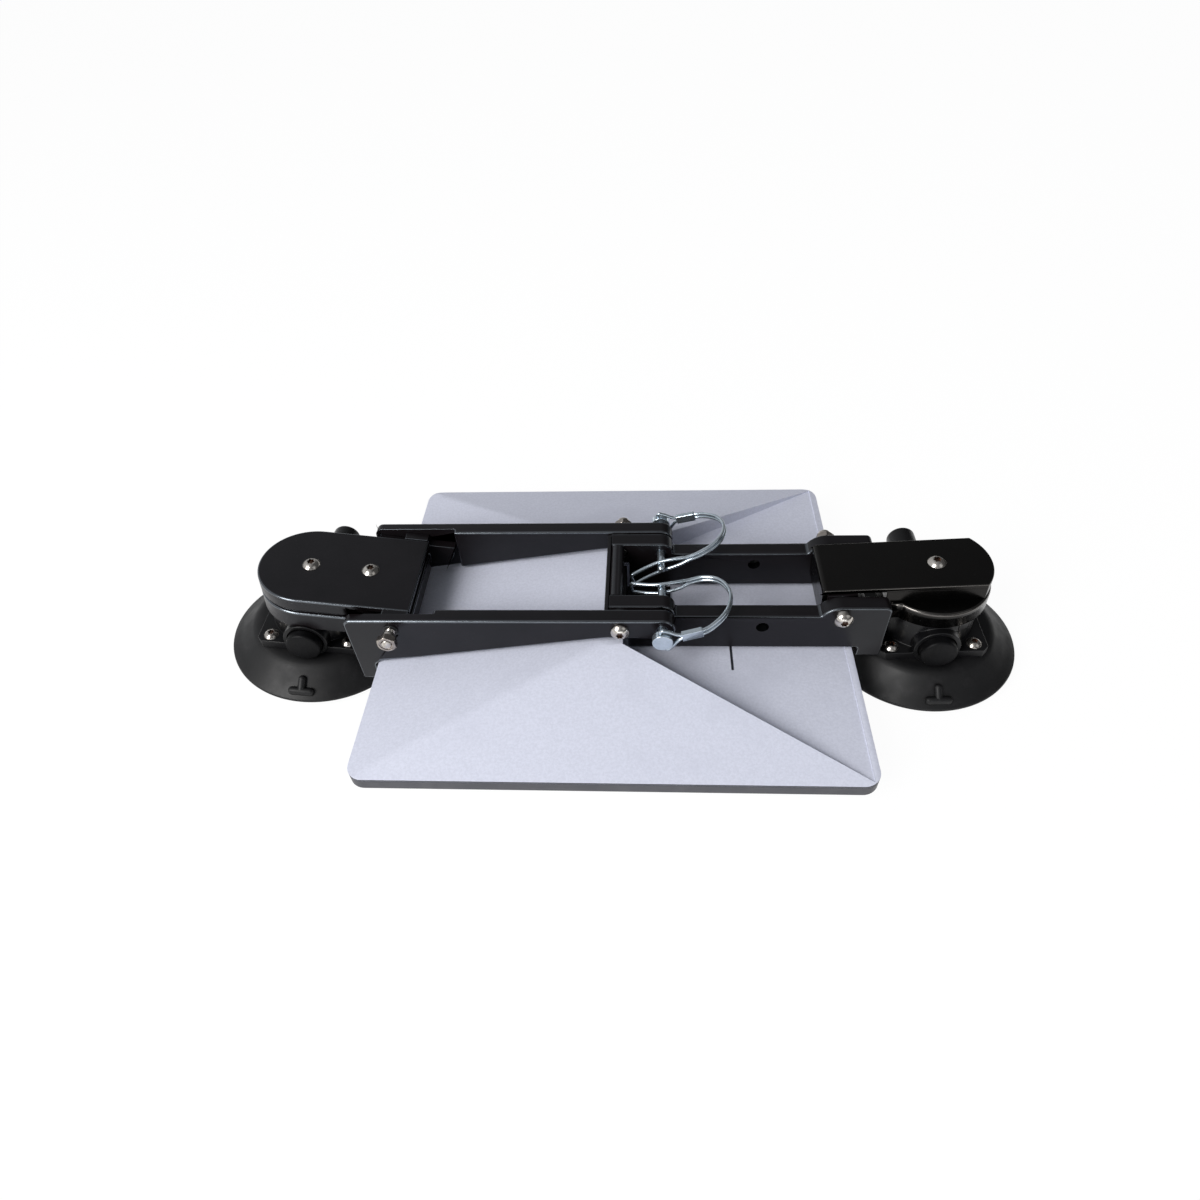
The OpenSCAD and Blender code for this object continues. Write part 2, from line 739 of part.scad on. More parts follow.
module plunger() {
    color("#101010") difference() {
        union() {
            rod_y(0, barrel_up, button_r, -button_front, -button_back);
            rod_y(0, barrel_up, rod_r, -button_back - eps, -piston_front + eps);
            rod_y(0, barrel_up, bore_r - slide_gap, -piston_front, -piston_back);
        }
        difference() {
            rod_y(0, barrel_up, bore_r, seal_y - seal_r - 0.1, seal_y + seal_r + 0.1);
            rod_y(0, barrel_up, seal_mid_r - seal_r, seal_y - 2 * seal_r, seal_y + 2 * seal_r);
        }
    }
}

module plunger_seal() {
    color("black") translate([0, seal_y, barrel_up]) rotate([90, 0, 0]) rotate_extrude()
        translate([seal_mid_r, 0]) circle(seal_r, $fn = 24);
}

// Return spring between the piston and the rear cap
function coil_point(t, r, run) = [r * cos(360 * spring_turns * t), run * t, r * sin(360 * spring_turns * t)];

module return_spring() {
    steps = 14 * spring_turns;
    run = bore_end + piston_back - spring_wire;
    color("silver") translate([0, -piston_back + spring_wire / 2, barrel_up])
        tube([for (i = [0:steps]) coil_point(i / steps, spring_r, run)], spring_wire / 2, 6);
}

// A round wire along a row of points

function unit(v) = v / norm(v);

function heading(p, i) = unit(p[min(i + 1, len(p) - 1)] - p[max(i - 1, 0)]);

function side_of(t) = abs(t[2]) < 0.8 ? unit(cross([0, 0, 1], t)) : unit(cross([1, 0, 0], t));

// Each ring's side is the last one's, turned as little as the wire turns
function sides_from(p, i, last) =
    let (t = heading(p, i), s = unit(last - (last * t) * t))
    i == len(p) - 1 ? [s] : concat([s], sides_from(p, i + 1, s));

module tube(p, r, n) {
    sides = sides_from(p, 0, side_of(heading(p, 0)));
    rings = len(p);
    points = [
        for (i = [0:rings - 1]) let (t = heading(p, i), a = sides[i], b = cross(t, a))
            for (k = [0:n - 1]) p[i] + r * (cos(360 * k / n) * a + sin(360 * k / n) * b)
    ];
    walls = [
        for (i = [0:rings - 2], k = [0:n - 1])
            [i * n + k, (i + 1) * n + k, (i + 1) * n + (k + 1) % n, i * n + (k + 1) % n]
    ];
    first = [for (k = [0:n - 1]) k];
    final = [for (k = [n - 1:-1:0]) (rings - 1) * n + k];
    polyhedron(points, concat([first], walls, [final]));
}

// Left head

module left_outline(x1, corner) {
    circle(left_r, $fn = 96);
    translate([0, -left_r]) square([x1 - corner, 2 * left_r]);
    translate([0, -left_r + corner]) square([x1, 2 * (left_r - corner)]);
    for (s = [-1, 1]) translate([x1 - corner, s * (left_r - corner)]) circle(corner);
}

module left_slab(x1, corner, z0, h) {
    translate([0, 0, z0]) linear_extrude(height = h) left_outline(x1, corner);
}

module left_screw_places() {
    for (x = [0, plate_screw_x]) translate([x, 0, left_top]) children();
}

module left_top_plate() {
    color("#1e1e1e") left_head() difference() {
        left_slab(left_len, 1, left_top - plate_t, plate_t);
        left_screw_places() translate([0, 0, -plate_t - 1]) cylinder(d = bolt_d + 0.4, h = plate_t + 2);
    }
}

module left_spacer_block() {
    color("#181818") left_head() difference() {
        left_slab(left_spacer_len, 6, left_spacer_z, left_spacer_h);
        left_screw_places() translate([0, 0, -plate_t - left_spacer_h - 1])
            cylinder(d = bolt_d + 0.4, h = left_spacer_h + 2);
    }
}

module left_tilt_block() {
    ear_low = left_hinge_h - ear_drop;
    ear_face = thin_inner - ear_gap;
    color("#1b1b1b") left_head() difference() {
        union() {
            left_slab(left_len, 1, left_block_z, left_block_h);
            intersection() {
                rod_y(hinge_reach, left_hinge_h, ear_r, -ear_face, ear_face);
                box(0, left_len + ear_r, -ear_face, ear_face, ear_low, left_hinge_h);
            }
            rod_y(hinge_reach, left_hinge_h, ear_boss_r, -ear_face, ear_face);
        }
        box(-left_r, left_len + ear_r, -left_r - 0.1, left_r + 0.1, left_spacer_z, left_top + 9);
        box(left_len, left_len + ear_r, -left_r - 0.1, left_r + 0.1, ear_low - 1, left_top);
        rod_y(hinge_reach, left_hinge_h, bolt_d / 2, -ear_face - 1, ear_face + 1);
        left_screw_places() translate([0, 0, -left_top + left_block_z + blind_floor])
            cylinder(d = bolt_d, h = left_top);
    }
}

module left_plate_screws() {
    color("silver") left_head() left_screw_places()
        button_screw(bolt_d, head_d, head_h, left_top - left_block_z - blind_floor - screw_end_gap);
}

module left_hinge_stud() {
    color("silver") rod_y(-left_hinge_x, axis_z, bolt_d / 2, -arm_face - stud_out, -left_r - ear_gap);
}

module left_hinge_nut() {
    color("silver") translate([-left_hinge_x, -arm_face - stud_out, axis_z]) rotate([-90, 0, 0])
        safety_nut();
}

module left_hinge_washer() {
    color("black") translate([-left_hinge_x, -arm_face, axis_z]) rotate([90, 0, 0])
        washer(bolt_d / 2 + 1.6, 1);
}

module left_hinge_screw() {
    color("silver") translate([-left_hinge_x, arm_face, axis_z]) rotate([-90, 0, 0])
        button_screw(bolt_d, head_d, head_h, arm_face - left_r - ear_gap);
}

module left_pump_body() {
    left_head() pump_body(left_block_z);
}

module left_cup() {
    left_head() cup();
}

module left_flange_screws() {
    left_head() flange_screws();
}

module left_barrel_cap() {
    left_head() barrel_cap();
}

module left_plunger() {
    left_head() plunger();
}

module left_plunger_seal() {
    left_head() plunger_seal();
}

module left_plunger_spring() {
    left_head() return_spring();
}

// Right head

module strip_outline() {
    intersection() {
        translate([-strip_reach, -strip_w / 2]) square([strip_reach + left_r, strip_w]);
        union() {
            circle(left_r, $fn = 96);
            translate([-strip_reach, -strip_w / 2]) square([strip_reach, strip_w]);
        }
    }
}

module right_top_strip() {
    color("#151515") right_head() difference() {
        intersection() {
            across(-strip_w / 2, strip_w / 2) {
                translate([strip_face_x, right_top - plate_t]) square([strip_reach + left_r, plate_t]);
                translate([-strip_reach, strip_drop]) square([plate_t, right_top - plate_t - strip_drop]);
                intersection() {
                    translate([strip_face_x, right_top - plate_t]) circle(plate_t);
                    translate([-strip_reach, right_top - plate_t]) square(plate_t);
                }
            }
            linear_extrude(height = right_top + 1) strip_outline();
        }
        cylinder(d = bolt_d + 0.4, h = right_top + 1);
    }
}

module right_spacer_block() {
    color("#181818") right_head() difference() {
        translate([0, 0, right_spacer_z]) linear_extrude(height = right_spacer_h) intersection() {
            translate([-right_spacer_len, -strip_w / 2]) square([right_spacer_len + left_r, strip_w]);
            strip_outline();
        }
        cylinder(d = bolt_d + 0.4, h = right_top);
    }
}

module right_tilt_block() {
    color("#1b1b1b") right_head() difference() {
        box(strip_face_x, strip_face_x + right_block_len, -right_block_w / 2, right_block_w / 2,
            right_block_z, right_top - plate_t);
        rod_y(-hinge_reach, right_hinge_h, bolt_d / 2, -frame_face, frame_face);
    }
}

module right_cap_disc() {
    color("#181818") right_head() difference() {
        translate([0, 0, right_disc_z]) linear_extrude(height = disc_h) {
            circle(disc_r, $fn = 96);
            translate([-disc_tab_len, -disc_tab_w / 2]) square([disc_tab_len, disc_tab_w]);
        }
        cylinder(d = bolt_d + 0.4, h = right_top);
    }
}

module right_axis_screw() {
    color("silver") right_head() translate([0, 0, right_top])
        button_screw(bolt_d, head_d, head_h, right_top - right_disc_z + 8);
}

module right_hinge_bolt() {
    color("silver") translate([right_hinge_x, -frame_face - hinge_spacer_len, axis_z]) rotate([90, 0, 0])
        button_screw(bolt_d, head_d, head_h, hinge_spacer_len + frame_w + nut_t + collar_len - 1);
}

module right_hinge_spacer() {
    color("silver") translate([right_hinge_x, -frame_face, axis_z]) rotate([90, 0, 0])
        washer(head_d / 2 - 0.5, hinge_spacer_len);
}

module right_hinge_nut() {
    color("silver") translate([right_hinge_x, frame_face, axis_z]) rotate([-90, 0, 0]) safety_nut();
}

module right_pump_body() {
    right_head() difference() {
        pump_body(right_disc_z);
        translate([0, 0, right_disc_z - 8]) cylinder(d = bolt_d, h = 9);
    }
}

module right_cup() {
    right_head() cup();
}

module right_flange_screws() {
    right_head() flange_screws();
}

module right_barrel_cap() {
    right_head() barrel_cap();
}

module right_plunger() {
    right_head() plunger();
}

module right_plunger_seal() {
    right_head() plunger_seal();
}

module right_plunger_spring() {
    right_head() return_spring();
}

// Lock pins and bails, drawn with the pin's head at the origin and the pin along +Y

module at_front_pin() {
    translate([pin_x, -bail_y, axis_z]) rotate([0, -front_bail_rise, 0]) children();
}

module at_rear_pin() {
    rear_side() translate([pin_x, -bail_y, axis_z]) rotate([0, -rear_bail_rise, 0]) children();
}

module lock_pin() {
    nose = 1.2;
    difference() {
        union() {
            rod_y(0, 0, pin_head_d / 2, -pin_head_t / 2, pin_head_t / 2);
            rod_y(0, 0, pin_d / 2, 0, bail_y - pin_tip - nose);
            translate([0, bail_y - pin_tip - nose, 0]) rotate([-90, 0, 0])
                cylinder(d1 = pin_d, d2 = pin_d - 2 * nose, h = nose);
        }
        cylinder(r = wire_r + run_gap, h = 2 * pin_head_d, center = true);
    }
}

// Distance of the outgoing wires from the bail's plane, at distance r from the pin
function outer_lift(r) =
    max(pair_gap, hook_up + (pair_gap - hook_up) * (r - hook_bend) / (ferrule_r - hook_bend));

// The same on the way back, where the wires part round the pin
function inner_lift(r) = pair_gap + (straddle - pair_gap) * min(1, max(0, (part_r - r) / part_len));

// A smooth curve through the route's points
function spline(a, b, c, d, t) =
    0.5 * (2 * b + (c - a) * t + (2 * a - 5 * b + 4 * c - d) * t * t + (3 * b - a - 3 * c + d) * t * t * t);

function lifted(route) = [
    for (i = [0:len(route) - 1]) let (r = route[i][0])
        [r, route[i][1], i < len(route) / 2 ? outer_lift(r) : inner_lift(r)]
];

function smooth(p) = [
    for (i = [0:len(p) - 2], k = [0:route_steps - 1])
        spline(p[max(i - 1, 0)], p[i], p[i + 1], p[min(i + 2, len(p) - 1)], k / route_steps)
];

function hook_arc() = [
    for (t = [0:30:60]) [hook_bend * (1 - cos(t)), 0, hook_up - hook_bend * (1 - sin(t))]
];

function tail_arc(route) =
    let (n = len(route), tail = route[n - 1], way = unit(tail - route[n - 2]))
    [for (side = [1, -1], t = side > 0 ? [0:30:90] : [90:30:180]) [
        tail[0] + way[0] * tail_bend * sin(t), tail[1] + way[1] * tail_bend * sin(t),
        side * (straddle - tail_bend) + tail_bend * cos(t)
    ]];

function flipped(p) = [for (i = [len(p) - 1:-1:0]) [p[i][0], p[i][1], -p[i][2]]];

// The wire leaves the pin's head, runs over the pin, turns at the tail and comes back under it
function bail_path(route) =
    let (over = concat(hook_arc(), smooth(lifted(route))))
    concat(over, tail_arc(route), flipped(over));

module lock_bail(route) {
    tube(bail_path(route), wire_r, 8);
    for (s = [0, 1]) mirror([0, 0, s]) translate([0, 0, hook_in])
        cylinder(r = wire_r, h = hook_up - hook_bend - hook_in + 0.3);
}

module bail_ferrule(route) {
    difference() {
        translate([(route[2][0] + route[3][0]) / 2, (route[2][1] + route[3][1]) / 2, 0])
            rotate([0, 0, ferrule_slope])
                cube([ferrule_end - ferrule_r, ferrule_w, ferrule_h], center = true);
        tube(bail_path(route), wire_r, 8);
    }
}

module lock_pin_front() {
    color("lightsteelblue") at_front_pin() lock_pin();
}

module lock_pin_rear() {
    color("lightsteelblue") at_rear_pin() lock_pin();
}

module lock_bail_front() {
    color("lightsteelblue") at_front_pin() lock_bail(front_bail_route);
}

module lock_bail_rear() {
    color("lightsteelblue") at_rear_pin() lock_bail(rear_bail_route);
}

module bail_ferrule_front() {
    color("lightsteelblue") at_front_pin() bail_ferrule(front_bail_route);
}

module bail_ferrule_rear() {
    color("lightsteelblue") at_rear_pin() bail_ferrule(rear_bail_route);
}

panel_rear_shell();
panel_side_band();
panel_face_cover();
panel_lamp_board();
panel_bracket();
panel_bracket_screws();
left_arm_front();
left_arm_rear();
frame_arm_front();
frame_arm_rear();
frame_web();
pivot_screw_front();
pivot_stud_rear();
pivot_nut_rear();
pivot_washers();
left_top_plate();
left_spacer_block();
left_tilt_block();
left_plate_screws();
left_hinge_stud();
left_hinge_nut();
left_hinge_washer();
left_hinge_screw();
left_pump_body();
left_cup();
left_flange_screws();
left_barrel_cap();
left_plunger();
left_plunger_seal();
left_plunger_spring();
right_top_strip();
right_spacer_block();
right_tilt_block();
right_cap_disc();
right_axis_screw();
right_hinge_bolt();
right_hinge_spacer();
right_hinge_nut();
right_pump_body();
right_cup();
right_flange_screws();
right_barrel_cap();
right_plunger();
right_plunger_seal();
right_plunger_spring();
lock_pin_front();
lock_pin_rear();
lock_bail_front();
lock_bail_rear();
bail_ferrule_front();
bail_ferrule_rear();
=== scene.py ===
import math

import bmesh
import bpy
from mathutils import Matrix, Vector


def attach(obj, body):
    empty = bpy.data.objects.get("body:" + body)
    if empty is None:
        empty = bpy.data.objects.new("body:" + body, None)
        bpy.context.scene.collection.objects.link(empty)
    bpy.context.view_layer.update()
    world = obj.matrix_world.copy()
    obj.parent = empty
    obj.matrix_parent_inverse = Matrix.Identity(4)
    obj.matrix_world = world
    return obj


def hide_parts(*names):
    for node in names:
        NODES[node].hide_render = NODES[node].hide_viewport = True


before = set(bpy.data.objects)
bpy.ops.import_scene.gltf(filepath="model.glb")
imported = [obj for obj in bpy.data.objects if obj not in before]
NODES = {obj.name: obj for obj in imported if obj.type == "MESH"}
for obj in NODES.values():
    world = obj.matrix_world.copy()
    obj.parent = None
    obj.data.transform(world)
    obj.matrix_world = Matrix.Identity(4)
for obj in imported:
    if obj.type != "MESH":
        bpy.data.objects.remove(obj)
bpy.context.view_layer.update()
MM = 0.001

# Sizes in millimetres, as in the part's source. The top of the left ears, the end of
# the recess and the groove are the scene's own.
AXIS_Z = 61.3
LEFT_HINGE = 133.8
RIGHT_HINGE = 137.9
REACH = 60.3
CUP_R = 60.6
LEFT_TILT = math.radians(7.98)
RIGHT_TILT = math.radians(3.33)
LEFT_H = (AXIS_Z - (CUP_R - REACH) * math.sin(LEFT_TILT)) / math.cos(LEFT_TILT)
RIGHT_H = (AXIS_Z - (CUP_R - REACH) * math.sin(RIGHT_TILT)) / math.cos(RIGHT_TILT)
ARM_FACE = 45.3
THIN_INNER = 39
POCKET_X = -107.8
FRAME_FACE = 33.2
BARREL_UP = 29.3
PIVOT_X = 5.2
PIN_X = 30.5
BAIL_Y = 53.0
HEAD_D = 11
HEAD_RISE = 3.1
WASHER_T = 1.8
SPACER_LEN = 4
NUT_LEN = 7.8
NUT_HEX = 4.4
STUD_OUT = 12
ACCESSORY = (91.5, 51.2, 3.9)
LEFT_TOP = 66
LEFT_BLOCK_TOP = 54.4
EAR_TOP = 66.3
RIGHT_TOP = 70.5
RIGHT_BLOCK_TOP = RIGHT_TOP - 3
RIGHT_DISC_TOP = 59

PANEL_W = 298.5
PANEL_D = 259
PANEL_CORNER = 10
BAND_TOP = 28
RIM_Z = 29.5
RIDGE_Z = 50.2
RIDGE_HALF = 41
FLAT_HALF = 5.75
WALL_X = 6.5
RECESS_END = PANEL_W / 2 - 4.4
SOFT_END = 138
GROOVE = (73.3, 74.9, -49, -15)
GROOVE_DEPTH = 1.3

# Screws as shaft, head and rise, with their lengths under the head
M6 = (6, HEAD_D, HEAD_RISE)
M5 = (5, 9.5, 2.8)
THREAD_R = 3.0
THREAD_IN = 1
PIVOT_SCREW_LEN = 23.5
PIVOT_STUD_START = 23.6
HINGE_STUD_START = 32.7
HINGE_SCREW_LEN = 12.6
PLATE_SCREW_LEN = 21.6
PLATE_SCREW_X = 37.7
AXIS_SCREW_LEN = 30.7
FLANGE_SCREW_LEN = 6
FLANGE_SCREW_AT = (25, 26, 24)
NUT_CORNERS = 12.6
NUT_SHADE = 0.45
COLLAR_R = 4.4
HINGE_WASHER_R = 4.6
HINGE_WASHER_T = 1.0

CUP_HOLLOW = 3
CUP_TOP = 18
TAB_IN = 4.5
BUTTON_R = 11
BUTTON_BACK = 26
STEM_R = 4
PISTON_R = 7.75
PISTON_SPAN = (8.95, 14.95)
SEAL_SEAT_R = 6.75
SEAL_SPAN = (10.65, 13.25)
CAP_R = 9.45
CAP_BORE = 5.6
CAP_START = 30.05
CAP_FLOOR = 66

# An edge that turns by more than SHARP_TURN degrees is rounded, and one under FLAT_TURN is taken out
SHARP_TURN = 28
FLAT_TURN = 0.1
WELD = 0.002
ROUND_SIDES = 72
CUP_SIDES = 160


def shift(x, y, z):
    return Matrix.Translation((x, y, z))


def turn(degrees, axis):
    return Matrix.Rotation(math.radians(degrees), 4, axis)


LEFT = shift(-LEFT_HINGE, 0, AXIS_Z) @ Matrix.Rotation(LEFT_TILT, 4, "Y") @ shift(-REACH, 0, -LEFT_H)
RIGHT = shift(RIGHT_HINGE, 0, AXIS_Z) @ Matrix.Rotation(-RIGHT_TILT, 4, "Y") @ shift(REACH, 0, -RIGHT_H)
TO_FRONT = turn(90, "X")
TO_REAR = turn(-90, "X")
MIRROR_Y = Matrix.Scale(-1, 4, (0, 1, 0))


# Materials

def shade(r, g, b):
    """A colour written as it shows on screen, 0 to 255."""
    parts = [v / 255 for v in (r, g, b)]
    return tuple(v / 12.92 if v <= 0.04045 else ((v + 0.055) / 1.055) ** 2.4 for v in parts) + (1.0,)


class Surface:
    """A node material with two mottled tones, uneven roughness and a fine relief."""

    def __init__(self, name, metallic=0.0, specular=0.5):
        self.material = bpy.data.materials.new(name)
        self.material.use_nodes = True
        self.nodes = self.material.node_tree.nodes
        self.links = self.material.node_tree.links
        self.shader = self.nodes["Principled BSDF"]
        self.shader.inputs["Metallic"].default_value = metallic
        self.shader.inputs["Specular IOR Level"].default_value = specular
        self.place = self.nodes.new("ShaderNodeTexCoord").outputs["Object"]

    def mapped(self, scale):
        mapping = self.nodes.new("ShaderNodeMapping")
        mapping.inputs["Scale"].default_value = scale
        self.links.new(self.place, mapping.inputs["Vector"])
        return mapping.outputs["Vector"]

    def noise(self, scale, detail=4.0, rough=0.55, stretch=None):
        node = self.nodes.new("ShaderNodeTexNoise")
        node.inputs["Scale"].default_value = scale
        node.inputs["Detail"].default_value = detail
        node.inputs["Roughness"].default_value = rough
        self.links.new(self.mapped(stretch) if stretch else self.place, node.inputs["Vector"])
        return node.outputs["Fac"]

    def ramp(self, source, stops):
        node = self.nodes.new("ShaderNodeValToRGB")
        elements = node.color_ramp.elements
        while len(elements) < len(stops):
            elements.new(0.5)
        for element, (at, colour) in zip(elements, stops):
            element.position = at
            element.color = colour
        self.links.new(source, node.inputs["Fac"])
        return node.outputs["Color"]

    def span(self, source, low, high, start=0.3, end=0.7):
        node = self.nodes.new("ShaderNodeMapRange")
        node.inputs["From Min"].default_value = start
        node.inputs["From Max"].default_value = end
        node.inputs["To Min"].default_value = low
        node.inputs["To Max"].default_value = high
        self.links.new(source, node.inputs["Value"])
        return node.outputs["Result"]

    def mix(self, factor, first, second):
        node = self.nodes.new("ShaderNodeMix")
        node.data_type = "RGBA"
        self.links.new(factor, node.inputs["Factor"])
        for socket, value in ((node.inputs[6], first), (node.inputs[7], second)):
            if isinstance(value, tuple):
                socket.default_value = value
            else:
                self.links.new(value, socket)
        return node.outputs[2]

    def marked(self, name):
        """How far a face is marked with the named attribute, 0 to 1."""
        node = self.nodes.new("ShaderNodeAttribute")
        node.attribute_name = name
        return node.outputs["Fac"]

    def colour(self, source):
        self.links.new(source, self.shader.inputs["Base Color"])
        return self

    def roughness(self, source):
        self.links.new(source, self.shader.inputs["Roughness"])
        return self

    def relief(self, source, strength, depth_mm):
        node = self.nodes.new("ShaderNodeBump")
        node.inputs["Strength"].default_value = strength
        node.inputs["Distance"].default_value = depth_mm * MM
        self.links.new(source, node.inputs["Height"])
        self.links.new(node.outputs["Normal"], self.shader.inputs["Normal"])
        return self


def mottled(name, dark, light, rough, grain, depth, metallic=0.0, specular=0.5, stretch=None):
    """Two tones in patches, with an uneven roughness and a fine grain."""
    patch = 45
    s = Surface(name, metallic, specular)
    s.colour(s.ramp(s.noise(patch, 5.0, 0.6, stretch), [(0.3, dark), (0.7, light)]))
    s.roughness(s.span(s.noise(patch * 2.7, 3.0, 0.5, stretch), rough[0], rough[1]))
    s.relief(s.noise(grain, 2.0, 0.6, stretch), 0.5, depth)
    return s.material


def moulded(name, smudge, dark, light):
    """Pale moulded shell: a fine cloth-like grain, a few faint smudges, and dark grey on faces marked deep.
    """
    s = Surface(name, specular=0.35)
    grain = s.ramp(s.noise(620, 3.0, 0.7), [(0.36, dark), (0.64, light)])
    tone = s.mix(s.span(s.noise(16, 4.0, 0.6), 0.0, 0.55, 0.56, 0.72), grain, smudge)
    # Faces marked deep turn dark grey. On the shell's low outer edge this is the side band's own colour;
    # inside the groove it is painted shade.
    s.colour(s.mix(s.marked("deep"), tone, shade(68, 70, 79)))
    s.roughness(s.span(s.noise(60, 3.0), 0.42, 0.52))
    s.relief(s.noise(700, 3.0, 0.6), 0.5, 0.07)
    return s.material


def rubber(name, dark, light, bloom):
    """Moulded rubber: faint dust in patches and a soft, uneven sheen."""
    s = Surface(name, specular=0.34)
    body = s.ramp(s.noise(30, 5.0), [(0.3, dark), (0.7, light)])
    dust = s.span(s.noise(95, 6.0, 0.7), 0.0, 0.55, 0.52, 0.75)
    s.colour(s.mix(dust, body, bloom))
    s.roughness(s.span(s.noise(60, 3.0), 0.42, 0.6))
    s.relief(s.noise(1400, 2.0), 0.35, 0.06)
    return s.material


EDGE_ROUGH = 0.2
FLAT_IOR = 1.5
# The reflection level on faces marked deep, lowered as painted shade.
PAINTED_SHADE_SPECULAR = 0.02


def powder_coat(name, dark, light, rough, specular, wear, reflection_tint, edge_ior):
    """Black coated metal with a fine orange-peel skin, glossier on its rounded edges, with painted shade
    (near black, dulled reflections) on faces marked deep and a painted reflection colour as its specular
    tint.
    """
    s = Surface(name, specular=specular)
    body = s.ramp(s.noise(38, 4.0), [(0.32, dark), (0.68, light)])
    specks = s.span(s.noise(900, 2.0), 0.0, 1.0, 0.68, 0.78)
    # Faces marked deep, the frame arms' accessory holes, are painted near black as painted shade.
    s.colour(s.mix(s.marked("deep"), s.mix(specks, body, wear), shade(4, 4, 4)))
    dulled = s.span(s.marked("deep"), specular, PAINTED_SHADE_SPECULAR, 0, 1)
    s.links.new(dulled, s.shader.inputs["Specular IOR Level"])
    flat = s.span(s.noise(120, 3.0), rough[0], rough[1])
    smooth = s.nodes.new("ShaderNodeMix")
    s.links.new(s.marked("edge"), smooth.inputs["Factor"])
    s.links.new(flat, smooth.inputs[2])
    smooth.inputs[3].default_value = EDGE_ROUGH
    s.roughness(smooth.outputs[0])
    rubbed = s.span(s.noise(260, 3.0), 0.85, 1.0, 0.35, 0.6)
    gloss = s.nodes.new("ShaderNodeMath")
    gloss.operation = "MULTIPLY"
    s.links.new(s.marked("edge"), gloss.inputs[0])
    s.links.new(rubbed, gloss.inputs[1])
    s.links.new(s.span(gloss.outputs[0], FLAT_IOR, edge_ior, 0, 1), s.shader.inputs["IOR"])
    # This tint colours every reflection of the coat as painted reflection colour: blue like the pale panel on
    # black_coat, warm on gloss_coat.
    s.shader.inputs["Specular Tint"].default_value = reflection_tint
    s.relief(s.noise(1100, 2.0, 0.5), 0.5, 0.06)
    return s.material


def plated(name, dark, light, rough, tint, film=0.5, metallic=1.0):
    """Bright plated steel: fine drawing lines, a thin coloured film, and painted shade in dark brown on faces
    marked deep.
    """
    s = Surface(name, metallic)
    body = s.ramp(s.noise(150, 4.0), [(0.3, dark), (0.7, light)])
    tinted = s.span(s.noise(420, 3.0), 0.0, film, 0.5, 0.75)
    # Faces marked deep turn dark brown: painted shade in the screw recesses, and part of it on the nuts'
    # hexagons.
    s.colour(s.mix(s.marked("deep"), s.mix(tinted, body, tint), shade(92, 74, 64)))
    s.roughness(s.span(s.noise(800, 3.0), rough[0], rough[1]))
    s.relief(s.noise(2600, 2.0), 0.25, 0.015)
    return s.material


MATERIALS = {
    "pale_shell": moulded("pale_shell", shade(204, 207, 222), shade(211, 214, 229), shade(221, 224, 239)),
    "dark_band": mottled("dark_band", shade(62, 63, 69), shade(72, 72, 78), (0.42, 0.55), 1800, 0.05),
    "face_cover": mottled("face_cover", shade(226, 228, 232), shade(236, 238, 240), (0.25, 0.35), 900, 0.03),
    "board_metal": mottled("board_metal", shade(168, 170, 174), shade(190, 192, 196), (0.3, 0.45), 700, 0.03,
                           metallic=1.0),
    "dark_steel": mottled("dark_steel", shade(17, 17, 19), shade(24, 24, 27), (0.4, 0.52), 900, 0.04,
                          specular=0.3),
    "black_coat": powder_coat("black_coat", shade(15, 11, 12), shade(21, 17, 19), (0.28, 0.36), 0.32,
                              shade(40, 38, 40), (0.82, 0.91, 1.0, 1), 3.0),
    "gloss_coat": powder_coat("gloss_coat", shade(2, 2, 2), shade(4, 4, 4), (0.2, 0.28), 0.25,
                              shade(26, 25, 25), (1.0, 0.94, 0.88, 1), 2.8),
    "black_nylon": mottled("black_nylon", shade(20, 20, 21), shade(28, 28, 30), (0.42, 0.6), 1400, 0.05,
                           specular=0.4),
    "black_plastic": mottled("black_plastic", shade(12, 12, 13), shade(18, 18, 20), (0.26, 0.38), 1300, 0.04,
                             specular=0.28),
    "button_plastic": mottled("button_plastic", shade(8, 8, 9), shade(13, 13, 15), (0.4, 0.52), 700, 0.05,
                              specular=0.13, stretch=(3, 1, 0.4)),
    "cup_rubber": rubber("cup_rubber", shade(9, 9, 10), shade(14, 14, 16), shade(36, 34, 36)),
    "seal_rubber": rubber("seal_rubber", shade(20, 20, 21), shade(28, 28, 30), shade(40, 40, 40)),
    "stainless": plated("stainless", shade(176, 170, 164), shade(222, 217, 210), (0.16, 0.28),
                        shade(150, 138, 126)),
    "spring_steel": plated("spring_steel", shade(128, 128, 130), shade(170, 170, 172), (0.25, 0.4),
                           shade(120, 116, 112)),
    "zinc": plated("zinc", shade(180, 192, 202), shade(206, 216, 224), (0.13, 0.19), shade(190, 196, 192),
                   0.15, 0.9),
}


# Pieces

def paint(node, slot):
    """Gives its material to a node that stays as its own solid."""
    slots = NODES[node].data.materials
    slots.clear()
    slots.append(MATERIALS[slot])


def finish(name, bm, body, nodes, slot, sharp=40):
    """Turns a mesh drawn in millimetres into a piece that stands for the named nodes."""
    bmesh.ops.recalc_face_normals(bm, faces=bm.faces)
    bmesh.ops.scale(bm, vec=(MM, MM, MM), verts=bm.verts)
    mesh = bpy.data.meshes.new(name)
    bm.to_mesh(mesh)
    bm.free()
    mesh.polygons.foreach_set("use_smooth", [True] * len(mesh.polygons))
    mesh.set_sharp_from_angle(angle=math.radians(sharp))
    return place_piece(name, mesh, body, nodes, slot)


def place_piece(name, mesh, body, nodes, slot):
    """Puts a mesh into the scene, on its body and in place of its nodes."""
    piece = bpy.data.objects.new(name, mesh)
    bpy.context.scene.collection.objects.link(piece)
    mesh.materials.clear()
    mesh.materials.append(MATERIALS[slot])
    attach(piece, body)
    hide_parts(*nodes)
    return piece


def every_edge(angle, middle):
    """Rounds each sharp edge in full."""
    return float(angle > SHARP_TURN)


